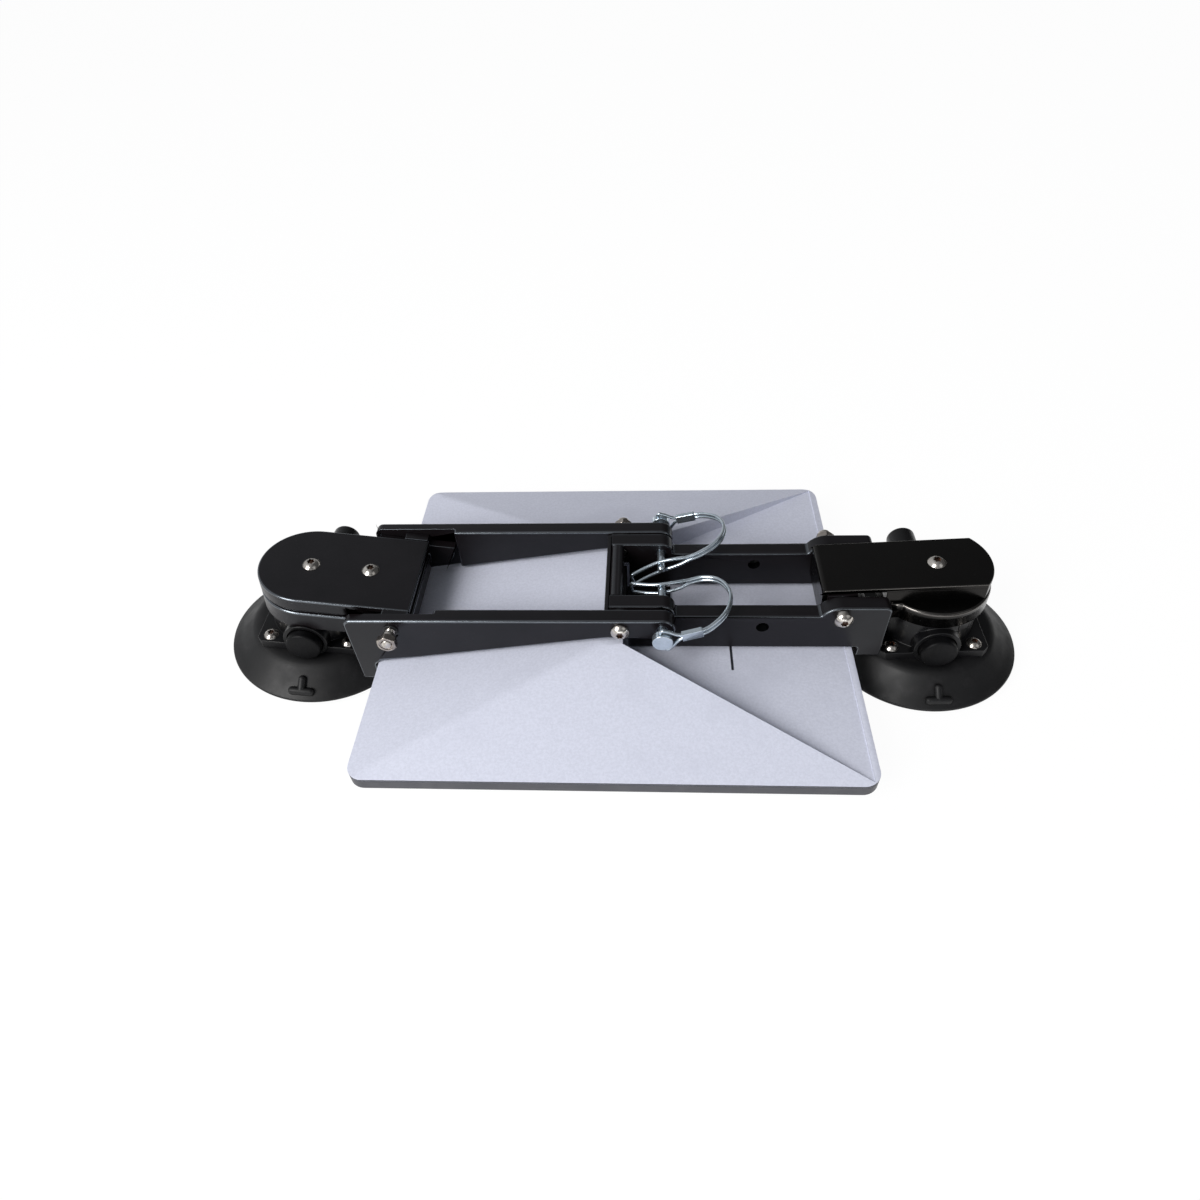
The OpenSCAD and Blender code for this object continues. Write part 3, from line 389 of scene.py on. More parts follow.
def rounded(node, body, slot, width, weigh=every_edge, segments=3, shine=1.0, darkened=None, lid=None):
    """The node's own solid with its edges rounded off, and cut flat at the lid's XY plane if one is given."""
    bm = bmesh.new()
    bm.from_mesh(NODES[node].data)
    bmesh.ops.remove_doubles(bm, verts=bm.verts, dist=WELD * MM)
    if lid:
        geometry = bm.verts[:] + bm.edges[:] + bm.faces[:]
        bmesh.ops.bisect_plane(bm, geom=geometry, dist=1e-7, plane_co=lid.translation * MM,
                               plane_no=lid.to_3x3() @ Vector((0, 0, 1)), clear_outer=True)
        bmesh.ops.holes_fill(bm, edges=[e for e in bm.edges if len(e.link_faces) == 1])
    bmesh.ops.dissolve_limit(bm, angle_limit=math.radians(FLAT_TURN), verts=bm.verts, edges=bm.edges)
    return bevelled(bm, node, body, slot, width, weigh, segments, shine, darkened)


def bevelled(bm, node, body, slot, width, weigh, segments, shine=1.0, darkened=None):
    """Rounds a mesh's edges, each by the share of the width that weigh gives it.

    The new faces are marked "edge"; faces picked by their middle are marked "deep" and painted dark, as
    painted shade in holes, recesses and the groove, and as the side band's grey on the shell's low edge.
    """
    layer = bm.edges.layers.float.new("bevel_weight_edge")
    for edge in bm.edges:
        if len(edge.link_faces) == 2:
            angle = math.degrees(edge.calc_face_angle(0))
            edge[layer] = weigh(angle, (edge.verts[0].co + edge.verts[1].co) / (2 * MM))
    mesh = bpy.data.meshes.new(node + "_rounded")
    bm.to_mesh(mesh)
    bm.free()
    mesh.polygons.foreach_set("use_smooth", [True] * len(mesh.polygons))
    mesh.polygons.foreach_set("material_index", [0] * len(mesh.polygons))
    mesh.materials.clear()
    for _ in range(2):
        mesh.materials.append(MATERIALS[slot])
    carrier = bpy.data.objects.new("carrier", mesh)
    bpy.context.scene.collection.objects.link(carrier)
    bevel = carrier.modifiers.new("edge", "BEVEL")
    bevel.limit_method = "WEIGHT"
    bevel.width = width * MM
    bevel.segments = segments
    bevel.use_clamp_overlap = False
    bevel.miter_outer = "MITER_ARC"
    bevel.material = 1
    normals = carrier.modifiers.new("normals", "WEIGHTED_NORMAL")
    normals.weight = 60
    normals.keep_sharp = False
    ready = bpy.data.meshes.new_from_object(carrier.evaluated_get(bpy.context.evaluated_depsgraph_get()))
    bpy.data.objects.remove(carrier)
    edge_mark = ready.attributes.new("edge", "FLOAT", "FACE")
    edge_mark.data.foreach_set("value", [shine * face.material_index for face in ready.polygons])
    # Picked faces are marked for painting dark: painted shade, or the band's grey on the shell's low edge.
    if darkened:
        darkened_mark = ready.attributes.new("deep", "FLOAT", "FACE")
        darkened_mark.data.foreach_set("value", [float(darkened(face.center / MM)) for face in ready.polygons])
    ready.polygons.foreach_set("material_index", [0] * len(ready.polygons))
    return place_piece(node + "_skin", ready, body, [node], slot)


def at_height(head, height, share, rest):
    """Gives the sharp edges at one height of a head one share, and its other sharp edges another."""
    back = head.inverted()

    def weigh(angle, middle):
        if angle < SHARP_TURN:
            return 0.0
        return share if abs((back @ middle).z - height) < 0.4 else rest
    return weigh


def in_hole(point):
    """Picks the wall and the mouth of an accessory hole."""
    x, z, radius = ACCESSORY
    return math.hypot(point.x - x, point.z - z) < radius + 0.3


def frame_edges(angle, middle):
    """Leaves the mouths of the accessory holes sharp, and the end at the web nearly sharp."""
    if angle < SHARP_TURN or in_hole(middle):
        return 0.0
    return 1.0 if middle.x > 0 else 0.1


def arm_edges(angle, middle):
    """Rounds the thin wall beside the hinge less than the rest of the arm."""
    thin = abs(abs(middle.y) - THIN_INNER) < 0.5 and middle.x < POCKET_X
    return 0.0 if angle < SHARP_TURN else 0.15 if thin else 1.0


def below_rim(point):
    """Picks the shell's low outer edge, which gets the side band's grey, and the inside of its groove, which
    gets painted shade.
    """
    return BAND_TOP + 0.1 < point.z < RIM_Z - 0.15


def along_web(angle, middle):
    """Picks the web's upper long edges."""
    return 1.0 if angle > SHARP_TURN and abs(middle.y) < 1 and middle.z > AXIS_Z else 0.1


def loft(bm, rings, mark=None, much=1.0):
    """Joins rows of points into a skin; a row of one point closes an end."""
    marks = bm.faces.layers.float.get(mark) or bm.faces.layers.float.new(mark) if mark else None
    rows = [[bm.verts.new(point) for point in ring] for ring in rings]
    for a, b in zip(rows, rows[1:]):
        count = max(len(a), len(b))
        for k in range(count):
            n = (k + 1) % count
            corners = [a[k % len(a)], a[n % len(a)], b[n % len(b)], b[k % len(b)]]
            corners = [v for i, v in enumerate(corners) if v not in corners[:i]]
            if len(corners) > 2:
                face = bm.faces.new(corners)
                if mark:
                    face[marks] = much


def spun(bm, place, profile, sides, mark=None, much=1.0):
    """Spins (radius, height) pairs about the local Z; a radius may be a function of the angle."""
    rings = []
    for radius, height in profile:
        if not callable(radius) and radius < 1e-6:
            rings.append([place @ Vector((0, 0, height))])
            continue
        ring = []
        for k in range(sides):
            angle = 2 * math.pi * k / sides
            r = radius(angle) if callable(radius) else radius
            ring.append(place @ Vector((r * math.cos(angle), r * math.sin(angle), height)))
        rings.append(ring)
    loft(bm, rings, mark, much)


def softened(points, radius, steps=4):
    """Rounds the inner corners of a row of (r, h) points."""
    out = [points[0]]
    for before, at, after in zip(points, points[1:], points[2:]):
        p, q, s = Vector(before), Vector(at), Vector(after)
        reach = min(radius, (p - q).length * 0.45, (s - q).length * 0.45)
        a, b = q + (p - q).normalized() * reach, q + (s - q).normalized() * reach
        for i in range(steps + 1):
            t = i / steps
            v = (1 - t) ** 2 * a + 2 * t * (1 - t) * q + t * t * b
            out.append((v.x, v.y))
    out.append(points[-1])
    return out


def button_head(bm, place, shaft_d, head_d, rise, length):
    """A low domed head with a six-lobed recess, on its shaft."""
    half = head_d / 2
    crown = (half * half + rise * rise) / (2 * rise)
    rim = 0.47 * half
    dome = []
    for i in range(9):
        r = half + (rim - half) * i / 8
        dome.append((r, math.sqrt(crown * crown - r * r) + rise - crown))
    star = [lambda a, s=s: half * s * (0.385 + 0.055 * math.cos(6 * a)) for s in (1.0, 0.97, 0.94)]
    top = dome[-1][1]
    profile = [(0, -length), (shaft_d / 2 - 0.4, -length), (shaft_d / 2, -length + 0.5), (shaft_d / 2, 0)]
    profile += [(half - 0.35, 0), (half - 0.05, 0.15)] + dome
    spun(bm, place, profile + [(star[0], top - 0.03)], ROUND_SIDES)
    recess = [(star[0], top - 0.03), (star[1], top - 0.4), (star[2], rise * 0.45), (0, rise * 0.4)]
    # The recess is marked deep, so the material paints it dark brown as painted shade.
    spun(bm, place, recess, ROUND_SIDES, "deep")


def hexagon(across_corners):
    """A hexagon's radius at an angle, cut off at a cap, and its apothem."""
    apothem = across_corners / 2 * math.cos(math.pi / 6)

    def radius(angle, cap):
        local = (angle + math.pi / 6) % (math.pi / 3) - math.pi / 6
        return min(apothem / math.cos(local), cap)
    return radius, apothem


def safety_nut(bm, place, corners, bore):
    """A chamfered hexagon, standing on its outer face, with a round locking collar behind it."""
    radius, apothem = hexagon(corners)

    def level(cap, h):
        return (lambda a: radius(a, cap), h)
    profile = [(bore, 0.9), (bore + 0.5, 0.5), (4.2, 0.45), (4.35, 0.05), (4.9, 0), (apothem * 0.97, 0)]
    profile += [level(apothem * c, h) for c, h in ((1.02, 0.12), (1.08, 0.35), (1.17, 0.8))]
    profile += [level(apothem * c, NUT_HEX - h) for c, h in ((1.17, 0.7), (1.08, 0.3), (1.02, 0.1))]
    # The hexagon is marked deep at NUT_SHADE, a partial painted shade that keeps its lit faces darker than
    # the collar.
    spun(bm, place, profile + [(COLLAR_R, NUT_HEX)], ROUND_SIDES, "deep", NUT_SHADE)
    collar = [(COLLAR_R, NUT_HEX), (4.3, NUT_HEX + 0.1), (4.3, NUT_LEN - 0.8), (4.0, NUT_LEN - 0.1),
              (bore + 0.4, NUT_LEN), (bore, NUT_LEN - 0.3)]
    spun(bm, place, softened(collar, 0.3, 3) + [(bore, 0.9)], ROUND_SIDES)


def threaded_bar(bm, place, radius, start, end, pitch=1.0, depth=0.36):
    """A shaft with a screw thread between start and end."""
    sides, rows = 36, int((end - start) / pitch * 8)
    rings = [[place @ Vector((0, 0, start))]]
    for i in range(rows + 1):
        height = start + (end - start) * i / rows
        ring = []
        for k in range(sides):
            angle = 2 * math.pi * k / sides
            phase = (height / pitch - k / sides) % 1.0
            r = radius - depth * abs(2 * phase - 1)
            if i in (0, rows):
                r = radius - depth - 0.2
            ring.append(place @ Vector((r * math.cos(angle), r * math.sin(angle), height)))
        rings.append(ring)
    rings.append([place @ Vector((0, 0, end))])
    loft(bm, rings)


def tube(bm, points, radius, sides=16):
    """A round wire along a row of points, turned as little as the row turns."""
    rings, side = [[points[0]]], None
    for i, point in enumerate(points):
        ahead = (points[min(i + 1, len(points) - 1)] - points[max(i - 1, 0)]).normalized()
        if side is None:
            side = ahead.orthogonal().normalized()
        side = (side - ahead * side.dot(ahead)).normalized()
        other = ahead.cross(side)
        angles = [2 * math.pi * k / sides for k in range(sides)]
        rings.append([point + radius * (math.cos(a) * side + math.sin(a) * other) for a in angles])
    rings.append([points[-1]])
    loft(bm, rings)


def soft_block(bm, place, low, high, radius):
    """A block with well rounded edges."""
    made = bmesh.ops.create_cube(bm, size=1.0)["verts"]
    size = Vector(high) - Vector(low)
    for v in made:
        v.co = Vector(low) + Vector([(part + 0.5) * whole for part, whole in zip(v.co, size)])
    edges = list({e for v in made for e in v.link_edges})
    out = bmesh.ops.bevel(bm, geom=made + edges, offset=radius, segments=4, profile=0.5, affect="EDGES")
    for v in {v for f in out["faces"] for v in f.verts} | {v for v in made if v.is_valid}:
        v.co = place @ v.co


# Panel

def roof_height(x, y):
    along = RIDGE_Z - (RIDGE_Z - RIM_Z) * abs(x) / (PANEL_W / 2)
    across = RIDGE_Z - (RIDGE_Z - RIM_Z) * (abs(y) - RIDGE_HALF) / (PANEL_D / 2 - RIDGE_HALF)
    flat = RIDGE_Z - (RIDGE_Z - RIM_Z) * FLAT_HALF / (PANEL_W / 2)
    return min(along, across, flat)


def hip_y(x):
    return RIDGE_HALF + (PANEL_D / 2 - RIDGE_HALF) * x / (PANEL_W / 2)


def corner_points(sx, sy, start, end, steps=6):
    """Points on the outline's round corner, from its side end (0) to its front or rear end (1)."""
    cx, cy, r = PANEL_W / 2 - PANEL_CORNER, PANEL_D / 2 - PANEL_CORNER, PANEL_CORNER
    rate = hip_y(1) - hip_y(0)
    hip = math.atan(rate) + math.asin((hip_y(cx) - cy) / (r * math.hypot(1, rate)))
    stops = {"side": 0, "hip": hip, "end": math.pi / 2}
    first, last = stops[start], stops[end]
    angles = [first + (last - first) * i / steps for i in range(steps + 1)]
    return [(sx * (cx + r * math.cos(a)), sy * (cy + r * math.sin(a))) for a in angles]


def panel_shell():
    """Roof with a flat ridge, a sunk right side between upright walls, and a groove in its floor."""
    bm = bmesh.new()
    made = {}

    def point(x, y, z=None):
        z = roof_height(x, y) if z is None else z
        key = (round(x, 2), round(y, 2), round(z, 2))
        if key not in made:
            made[key] = bm.verts.new((x * MM, y * MM, z * MM))
        return made[key]

    def face(points):
        bm.faces.new([point(*p) for p in points])

    f, w, e = FLAT_HALF, WALL_X, RECESS_END
    yf, yw, ye = hip_y(f), hip_y(w), hip_y(e)
    gx0, gx1, gy0, gy1 = GROOVE
    low, deep = RIM_Z, RIM_Z - GROOVE_DEPTH
    m, ym = SOFT_END, hip_y(SOFT_END)
    face([(-f, -yf), (-m, -ym)] + corner_points(-1, -1, "hip", "side") + corner_points(-1, 1, "side", "hip")
         + [(-m, ym), (-f, yf)])
    face([(-f, -yf), (f, -yf), (f, yf), (-f, yf)])
    face([(f, -yf), (w, -yw), (w, yw), (f, yf)])
    face([(e, -ye)] + corner_points(1, -1, "hip", "side") + corner_points(1, 1, "side", "hip") + [(e, ye)])
    for s in (-1, 1):
        corners = corner_points(-1, s, "hip", "end") + corner_points(1, s, "end", "hip")
        face([(-f, s * yf), (-m, s * ym)] + corners + [(e, s * ye), (w, s * yw), (f, s * yf)])
        face([(w, s * yw), (e, s * ye), (e, s * ye, low), (gx1, s * hip_y(gx1), low),
              (gx0, s * hip_y(gx0), low), (w, s * yw, low)])
    for x, y in ((w, yw), (e, ye)):
        face([(x, -y), (x, y), (x, y, low), (x, -y, low)])
    left_row = [(gx0, -hip_y(gx0), low), (gx0, gy0, low), (gx0, gy1, low), (gx0, hip_y(gx0), low)]
    right_row = [(gx1, -hip_y(gx1), low), (gx1, gy0, low), (gx1, gy1, low), (gx1, hip_y(gx1), low)]
    face([(w, -yw, low)] + left_row + [(w, yw, low)])
    face([(e, -ye, low)] + right_row + [(e, ye, low)])
    for i in (0, 2):
        face([left_row[i], right_row[i], right_row[i + 1], left_row[i + 1]])
    corners = [(gx0, gy0), (gx1, gy0), (gx1, gy1), (gx0, gy1)]
    face([c + (deep,) for c in corners])
    for a, b in zip(corners, corners[1:] + corners[:1]):
        face([a + (low,), b + (low,), b + (deep,), a + (deep,)])
    outline = []
    for sx, sy, order in ((-1, -1, 1), (1, -1, -1), (1, 1, 1), (-1, 1, -1)):
        outline += (corner_points(sx, sy, "side", "hip") + corner_points(sx, sy, "hip", "end")[1:])[::order]
    for a, b in zip(outline, outline[1:] + outline[:1]):
        face([a, b, b + (BAND_TOP,), a + (BAND_TOP,)])
    face([p + (BAND_TOP,) for p in outline])
    bmesh.ops.recalc_face_normals(bm, faces=bm.faces)

    def weigh(angle, middle):
        if angle > SHARP_TURN:
            return 0.14 if middle.z > RIM_Z + 1 else 0.05
        return 1.0 if -m < middle.x < w - 1 and middle.z > RIM_Z + 0.4 and angle > 5 else 0.0
    bevelled(bm, "panel_rear_shell", "bracket", "pale_shell", 2.4, weigh, 4, darkened=below_rim)


panel_shell()
rounded("panel_side_band", "bracket", "dark_band", 0.8)
rounded("panel_face_cover", "bracket", "face_cover", 0.5)
rounded("panel_bracket", "bracket", "dark_steel", 0.3, segments=2)
paint("panel_lamp_board", "board_metal")
paint("panel_bracket_screws", "stainless")

# Arms, frame and plates

for side in ("front", "rear"):
    rounded("left_arm_" + side, "bracket", "black_coat", 1.3, arm_edges)
    # The accessory holes' walls and mouths are marked deep, which paints them near black as painted shade.
    rounded("frame_arm_" + side, "bracket", "black_coat", 1.1, frame_edges, shine=0.7, darkened=in_hole)
rounded("frame_web", "bracket", "black_coat", 3.2, along_web, 6, 0.25)
rounded("left_top_plate", "left_head", "black_coat", 1.1, at_height(LEFT, LEFT_TOP, 1.0, 0.1))
rounded("left_spacer_block", "left_head", "black_coat", 3.6, at_height(LEFT, LEFT_BLOCK_TOP, 1.0, 0.03),
        segments=6, shine=0.0)
rounded("left_tilt_block", "left_head", "black_coat", 1.3, at_height(LEFT, LEFT_BLOCK_TOP, 1.0, 0.2),
        lid=LEFT @ shift(0, 0, EAR_TOP))
rounded("right_top_strip", "right_head", "gloss_coat", 0.7, at_height(RIGHT, RIGHT_TOP, 1.0, 0.2))
rounded("right_spacer_block", "right_head", "gloss_coat", 0.3, shine=0.0)
rounded("right_tilt_block", "right_head", "black_coat", 0.5, at_height(RIGHT, RIGHT_BLOCK_TOP, 1.0, 0.0),
        shine=0.0)
rounded("right_cap_disc", "right_head", "gloss_coat", 1.6, at_height(RIGHT, RIGHT_DISC_TOP, 1.0, 0.0))


# Screws, studs and nuts

def screws(name, body, places, size, length):
    """One node's button head screws, each seated at its place and running down from it."""
    bm = bmesh.new()
    for place in places:
        button_head(bm, place, *size, length)
    finish(name + "_bright", bm, body, [name], "stainless", 32)


def washers(name, body, slot, radius, thick, places):
    bm = bmesh.new()
    for place in places:
        spun(bm, place, softened([(THREAD_R, 0), (radius - 0.1, 0), (radius, 0.3), (radius, thick - 0.3),
                                  (radius - 0.3, thick), (THREAD_R, thick), (THREAD_R, 0)], 0.2, 2), 48)
    finish(name + "_round", bm, body, [name], slot)


def nut(name, body, place):
    bm = bmesh.new()
    safety_nut(bm, place, NUT_CORNERS, THREAD_R)
    finish(name + "_faceted", bm, body, [name], "stainless", 24)


def threaded(name, body, place, start, end):
    bm = bmesh.new()
    threaded_bar(bm, place, THREAD_R, start, end)
    finish(name + "_threaded", bm, body, [name], "stainless", 60)


PIVOT = shift(PIVOT_X, 0, AXIS_Z)
LEFT_AXIS = shift(-LEFT_HINGE, 0, AXIS_Z)
RIGHT_AXIS = shift(RIGHT_HINGE, 0, AXIS_Z)
screws("pivot_screw_front", "bracket", [PIVOT @ shift(0, -ARM_FACE - WASHER_T, 0) @ TO_FRONT],
       M6, PIVOT_SCREW_LEN)
threaded("pivot_stud_rear", "bracket", PIVOT @ TO_REAR,
         PIVOT_STUD_START, ARM_FACE + WASHER_T + NUT_LEN - THREAD_IN)
nut("pivot_nut_rear", "bracket", PIVOT @ shift(0, ARM_FACE + WASHER_T, 0) @ TO_REAR)
washers("pivot_washers", "bracket", "stainless", HEAD_D / 2, WASHER_T,
        [PIVOT @ shift(0, -ARM_FACE, 0) @ TO_FRONT, PIVOT @ shift(0, ARM_FACE, 0) @ TO_REAR])
threaded("left_hinge_stud", "left_head", LEFT_AXIS @ TO_FRONT, HINGE_STUD_START, ARM_FACE + STUD_OUT)
nut("left_hinge_nut", "left_head", LEFT_AXIS @ shift(0, -ARM_FACE - STUD_OUT, 0) @ TO_REAR)
washers("left_hinge_washer", "left_head", "black_nylon", HINGE_WASHER_R, HINGE_WASHER_T,
        [LEFT_AXIS @ shift(0, -ARM_FACE, 0) @ TO_FRONT])
screws("left_hinge_screw", "left_head", [LEFT_AXIS @ shift(0, ARM_FACE, 0) @ TO_REAR], M6, HINGE_SCREW_LEN)
screws("left_plate_screws", "left_head", [LEFT @ shift(x, 0, LEFT_TOP) for x in (0, PLATE_SCREW_X)],
       M6, PLATE_SCREW_LEN)
screws("right_axis_screw", "right_head", [RIGHT @ shift(0, 0, RIGHT_TOP)], M6, AXIS_SCREW_LEN)
screws("right_hinge_bolt", "right_head", [RIGHT_AXIS @ shift(0, -FRAME_FACE - SPACER_LEN, 0) @ TO_FRONT],
       M6, SPACER_LEN + 2 * FRAME_FACE + NUT_LEN - THREAD_IN)
washers("right_hinge_spacer", "right_head", "stainless", HEAD_D / 2 - 0.5, SPACER_LEN,
        [RIGHT_AXIS @ shift(0, -FRAME_FACE, 0) @ TO_FRONT])
nut("right_hinge_nut", "right_head", RIGHT_AXIS @ shift(0, FRAME_FACE, 0) @ TO_REAR)
flange_x, flange_y, flange_top = FLANGE_SCREW_AT
for name, head in (("left", LEFT), ("right", RIGHT)):
    screws(name + "_flange_screws", name + "_head",
           [head @ shift(sx * flange_x, sy * flange_y, flange_top) for sx in (-1, 1) for sy in (-1, 1)],
           M5, FLANGE_SCREW_LEN)

# Cups and pumps


def cup(side, head):
    """The rubber cup with its soft shoulder and its T-shaped pull tab."""
    bm = bmesh.new()
    outer = softened([(CUP_R - 9, CUP_HOLLOW), (CUP_R - 3, 0.05), (CUP_R - 0.3, 0.05), (CUP_R, 0.9),
                      (CUP_R - 0.4, 2.0), (54.5, 6.4), (48.6, 11.9), (44.8, 15.6), (42.4, 17.0), (40.4, 17.6),
                      (38.4, 17.9)], 2.6, 4)
    spun(bm, head, [(0, CUP_HOLLOW)] + outer + [(0, CUP_TOP)], CUP_SIDES)
    tab_y = -CUP_R + TAB_IN
    soft_block(bm, head @ shift(0, -53, 9) @ turn(43, "X"), (-2.4, -6, -3), (2.4, 6, 2.3), 2.2)
    soft_block(bm, head, (-8.2, tab_y - 2.2, 2.8), (8.2, tab_y + 2.6, 8.6), 2.3)
    finish(side + "_cup_rubber", bm, side + "_head", [side + "_cup"], "cup_rubber", 50)


def pump(side, head):
    """The pump's body, its plunger with the seal's seat, and the barrel's domed cap."""
    barrel = head @ shift(0, 0, BARREL_UP) @ TO_FRONT
    rounded(side + "_pump_body", side + "_head", "black_plastic", 0.5)
    bm = bmesh.new()
    back, front = PISTON_SPAN
    seat_back, seat_front = SEAL_SPAN
    profile = softened([(0, 40.0), (6, 39.9), (10.2, 39.5), (BUTTON_R, 38.6), (BUTTON_R, BUTTON_BACK),
                        (STEM_R, BUTTON_BACK), (STEM_R, front), (PISTON_R, front), (PISTON_R, seat_front),
                        (SEAL_SEAT_R, seat_front), (SEAL_SEAT_R, seat_back), (PISTON_R, seat_back),
                        (PISTON_R, back), (0, back)], 0.5, 3)
    spun(bm, barrel, profile, ROUND_SIDES)
    finish(side + "_plunger_button", bm, side + "_pump_plunger", [side + "_plunger"], "button_plastic", 35)
    bm = bmesh.new()
    rear = head @ shift(0, 0, BARREL_UP) @ TO_REAR
    dome = softened([(CAP_BORE, CAP_START), (9.2, 30.0), (CAP_R, 30.4), (CAP_R, 68.9), (8.8, 70.0), (6, 70.9),
                     (0, 71.5)], 0.8, 4)
    spun(bm, rear, dome + [(0, CAP_FLOOR), (CAP_BORE, CAP_FLOOR), (CAP_BORE, CAP_START)], ROUND_SIDES)
    finish(side + "_barrel_cap_domed", bm, side + "_head", [side + "_barrel_cap"], "black_plastic", 50)


cup("left", LEFT)
cup("right", RIGHT)
pump("left", LEFT)
pump("right", RIGHT)
for side in ("left", "right"):
    paint(side + "_plunger_seal", "seal_rubber")
    paint(side + "_plunger_spring", "spring_steel")

# Lock pins and their wire bails

WIRE_R = 1.2
PIN_D = 4.9
WIRE_GAP = 0.15
WIRE_SHOWN = WIRE_R - 0.1
PAIR_GAP = WIRE_R + WIRE_GAP
STRADDLE = PIN_D / 2 + WIRE_R + WIRE_GAP
HOOK_BEND = 2
TAIL_BEND = 1.7
PIN_HEAD_D = 12.2
HOOK_UP = PIN_HEAD_D / 2 + HOOK_BEND + 0.1
FERRULE_R = 11.5
ROUTES = {
    "front": [(2, 0), (5, 0.4), (11.5, 1.1), (24, 2.6), (32, 7.5), (39, 16), (42, 27), (40, 36.5),
              (34.5, 43.5), (26, 46.5), (18, 45.8), (11, 44), (0, 43), (-9, 44.7), (-18, 47.7)],
    "rear": [(2, 0), (5, 0.3), (11.5, 0.8), (24, 2.2), (32.5, 5.5), (39.5, 11.5), (43, 20), (41.5, 29),
             (35.5, 36), (26, 40.5), (18, 42), (11, 42.4), (0, 42.5), (-9, 44.3), (-18, 47.4)],
}
PINS = {
    "front": shift(PIN_X, -BAIL_Y, AXIS_Z) @ turn(-12, "Y"),
    "rear": MIRROR_Y @ shift(PIN_X, -BAIL_Y, AXIS_Z) @ turn(-20, "Y"),
}


def outer_lift(r):
    """How far each wire of the pair lies from the middle, from the hook to the ferrule."""
    return max(PAIR_GAP, HOOK_UP + (PAIR_GAP - HOOK_UP) * (r - HOOK_BEND) / (FERRULE_R - HOOK_BEND))


def inner_lift(r):
    """The same on the way back, where the pair parts to straddle the pin."""
    return PAIR_GAP + (STRADDLE - PAIR_GAP) * min(1, max(0, (17 - r) / 10))


def smooth_row(points, steps):
    """A smooth curve through a row of points."""
    out = []
    for i in range(len(points) - 1):
        a, b = points[max(i - 1, 0)], points[i]
        c, d = points[i + 1], points[min(i + 2, len(points) - 1)]
        for k in range(steps):
            t = k / steps
            out.append(0.5 * (2 * b + (c - a) * t + (2 * a - 5 * b + 4 * c - d) * t * t
                              + (3 * b - a - 3 * c + d) * t * t * t))
    return out


def bail_points(route):
    """The bail's wire: out from the pin along the route, round its tail and back below."""
    half = len(route) / 2
    over = [Vector((x, y, outer_lift(x) if i < half else inner_lift(x))) for i, (x, y) in enumerate(route)]
    hook = [Vector((HOOK_BEND * (1 - math.cos(a)), 0, HOOK_UP - HOOK_BEND * (1 - math.sin(a))))
            for a in (math.radians(d) for d in range(0, 90, 15))]
    start = [Vector((0, 0, h)) for h in (2.3, 3.5, 4.8)]
    last, before = Vector(route[-1] + (0,)), Vector(route[-2] + (0,))
    way = (last - before).normalized()
    tail = [last + way * TAIL_BEND * math.sin(a)
            + Vector((0, 0, s * (STRADDLE - TAIL_BEND) + TAIL_BEND * math.cos(a)))
            for s, turned in ((1, range(0, 91, 15)), (-1, range(90, 181, 15)))
            for a in (math.radians(d) for d in turned)]
    top = start + hook + smooth_row(over, 6)
    under = [Vector((p.x, p.y, -p.z)) for p in reversed(top)]
    return top + tail + under


for side, place in PINS.items():
    bm = bmesh.new()
    tube(bm, [place @ p for p in bail_points(ROUTES[side])], WIRE_SHOWN)
    finish(f"lock_bail_{side}_wire", bm, side + "_bail", ["lock_bail_" + side], "zinc", 60)
    rounded("bail_ferrule_" + side, side + "_bail", "zinc", 0.5)
    rounded("lock_pin_" + side, side + "_pin", "zinc", 0.45)


# Floor, light and camera

WHITE_LEVEL = 1.03
WHITE_SHARE = 0.93
FLOOR_HALF = 14
FLOOR_DROP = 0.0004


def floor_material():
    """A matt floor that the camera and the reflections see as nearly white."""
    material = bpy.data.materials.new("floor")
    material.use_nodes = True
    nodes, links = material.node_tree.nodes, material.node_tree.links
    nodes.clear()
    matt = nodes.new("ShaderNodeBsdfDiffuse")
    speck = nodes.new("ShaderNodeTexNoise")
    speck.inputs["Scale"].default_value = 3
    tone = nodes.new("ShaderNodeValToRGB")
    tone.color_ramp.elements[0].color = (0.86, 0.86, 0.87, 1)
    tone.color_ramp.elements[1].color = (0.9, 0.9, 0.9, 1)
    links.new(speck.outputs["Fac"], tone.inputs["Fac"])
    links.new(tone.outputs["Color"], matt.inputs["Color"])
    white = nodes.new("ShaderNodeEmission")
    white.inputs["Strength"].default_value = WHITE_LEVEL
    path = nodes.new("ShaderNodeLightPath")
    seen = None
    for name in ("Is Camera Ray", "Is Glossy Ray", "Is Transmission Ray"):
        if seen is None:
            seen = path.outputs[name]
        else:
            either = nodes.new("ShaderNodeMath")
            either.operation = "MAXIMUM"
            links.new(seen, either.inputs[0])
            links.new(path.outputs[name], either.inputs[1])
            seen = either.outputs[0]
    share = nodes.new("ShaderNodeMath")
    share.operation = "MULTIPLY"
    share.inputs[1].default_value = WHITE_SHARE
    links.new(seen, share.inputs[0])
    mixed = nodes.new("ShaderNodeMixShader")
    links.new(share.outputs[0], mixed.inputs[0])
    links.new(matt.outputs[0], mixed.inputs[1])
    links.new(white.outputs[0], mixed.inputs[2])
    links.new(mixed.outputs[0], nodes.new("ShaderNodeOutputMaterial").inputs[0])
    return material


bm = bmesh.new()
bmesh.ops.create_grid(bm, x_segments=2, y_segments=2, size=FLOOR_HALF)
mesh = bpy.data.meshes.new("floor")
bm.to_mesh(mesh)
bm.free()
mesh.materials.append(floor_material())
floor = bpy.data.objects.new("floor", mesh)
floor.location.z = -FLOOR_DROP
bpy.context.scene.collection.objects.link(floor)


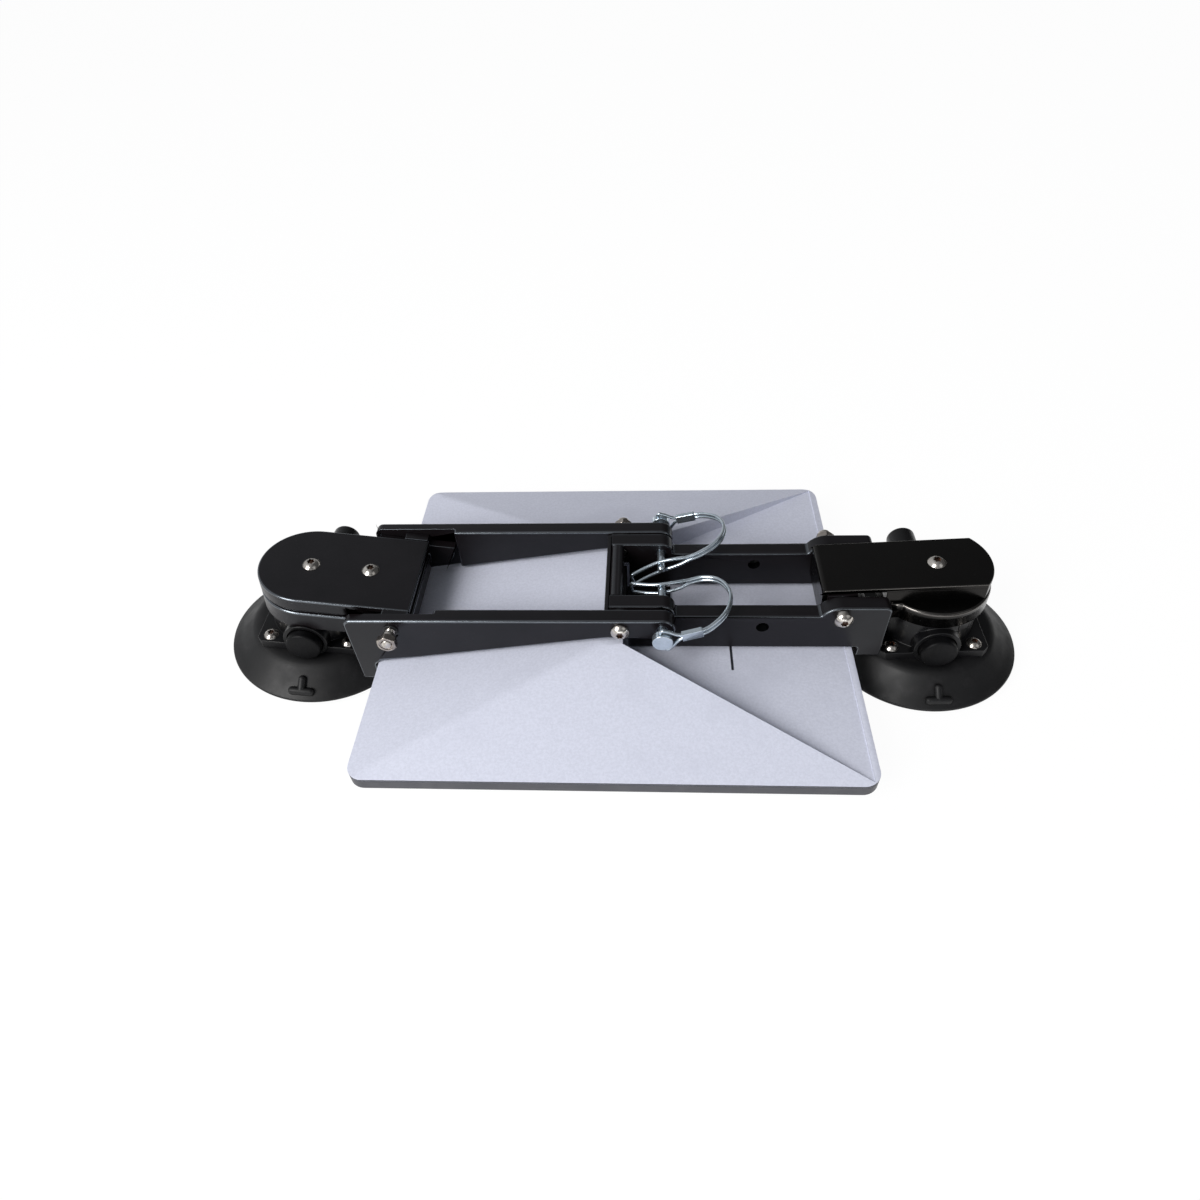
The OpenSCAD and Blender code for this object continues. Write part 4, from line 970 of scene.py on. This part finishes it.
def studio_world():
    """A room that is lighter on its left side than on its right, and looks white."""
    world = bpy.context.scene.world or bpy.data.worlds.new("world")
    bpy.context.scene.world = world
    world.use_nodes = True
    nodes, links = world.node_tree.nodes, world.node_tree.links
    split = nodes.new("ShaderNodeSeparateXYZ")
    links.new(nodes.new("ShaderNodeTexCoord").outputs["Generated"], split.inputs[0])
    level = nodes.new("ShaderNodeMapRange")
    for name, value in (("From Min", -0.7), ("From Max", 0.5), ("To Min", 0.6), ("To Max", 0.08)):
        level.inputs[name].default_value = value
    links.new(split.outputs["X"], level.inputs["Value"])
    room = nodes["Background"]
    links.new(level.outputs["Result"], room.inputs["Strength"])
    room.inputs["Color"].default_value = (0.95, 0.97, 1.0, 1)
    white = nodes.new("ShaderNodeBackground")
    white.inputs["Color"].default_value = (1, 1, 1, 1)
    seen = nodes.new("ShaderNodeMixShader")
    links.new(nodes.new("ShaderNodeLightPath").outputs["Is Camera Ray"], seen.inputs[0])
    links.new(room.outputs[0], seen.inputs[1])
    links.new(white.outputs[0], seen.inputs[2])
    links.new(seen.outputs[0], nodes["World Output"].inputs["Surface"])


studio_world()


def lamp(name, place, aim, size, power, colour):
    data = bpy.data.lights.new(name, "AREA")
    data.shape = "RECTANGLE"
    data.size, data.size_y = size
    data.energy = power
    data.color = colour
    made = bpy.data.objects.new(name, data)
    made.location = place
    made.rotation_euler = (Vector(aim) - Vector(place)).to_track_quat("-Z", "Y").to_euler()
    bpy.context.scene.collection.objects.link(made)


lamp("key", (-0.97, -1.06, 1.11), (0, 0, 0.03), (0.66, 1.08), 26.4, (1, 0.99, 0.98))
lamp("fill", (1.2, -0.9, 1.1), (0, 0, 0.03), (1.0, 1.0), 1.6, (0.96, 0.98, 1))
lamp("low", (0.0, -1.9, 0.35), (0, 0, 0.05), (2.2, 0.4), 6, (0.94, 0.97, 1))

YAW, PITCH, ROLL = (math.radians(v) for v in (4.976, 45.755, -3.582))
LENS = 23.64
SENSOR = 36
CAMERA_AT = (0.0218, -0.35889, 0.41077)
right = Vector((math.cos(YAW), math.sin(YAW), 0))
ahead = Vector((-math.sin(YAW), math.cos(YAW), 0))
forward = ahead * math.cos(PITCH) - Vector((0, 0, 1)) * math.sin(PITCH)
up = ahead * math.sin(PITCH) + Vector((0, 0, 1)) * math.cos(PITCH)
side_axis = right * math.cos(ROLL) + up * math.sin(ROLL)
up_axis = up * math.cos(ROLL) - right * math.sin(ROLL)
lens = bpy.data.cameras.new("camera")
lens.lens = LENS
lens.sensor_width = SENSOR
lens.clip_end = 60
camera = bpy.data.objects.new("camera", lens)
camera.matrix_world = Matrix((side_axis, up_axis, -forward)).transposed().to_4x4()
camera.location = CAMERA_AT
bpy.context.scene.collection.objects.link(camera)
bpy.context.scene.camera = camera
bpy.context.scene.view_settings.view_transform = "Standard"
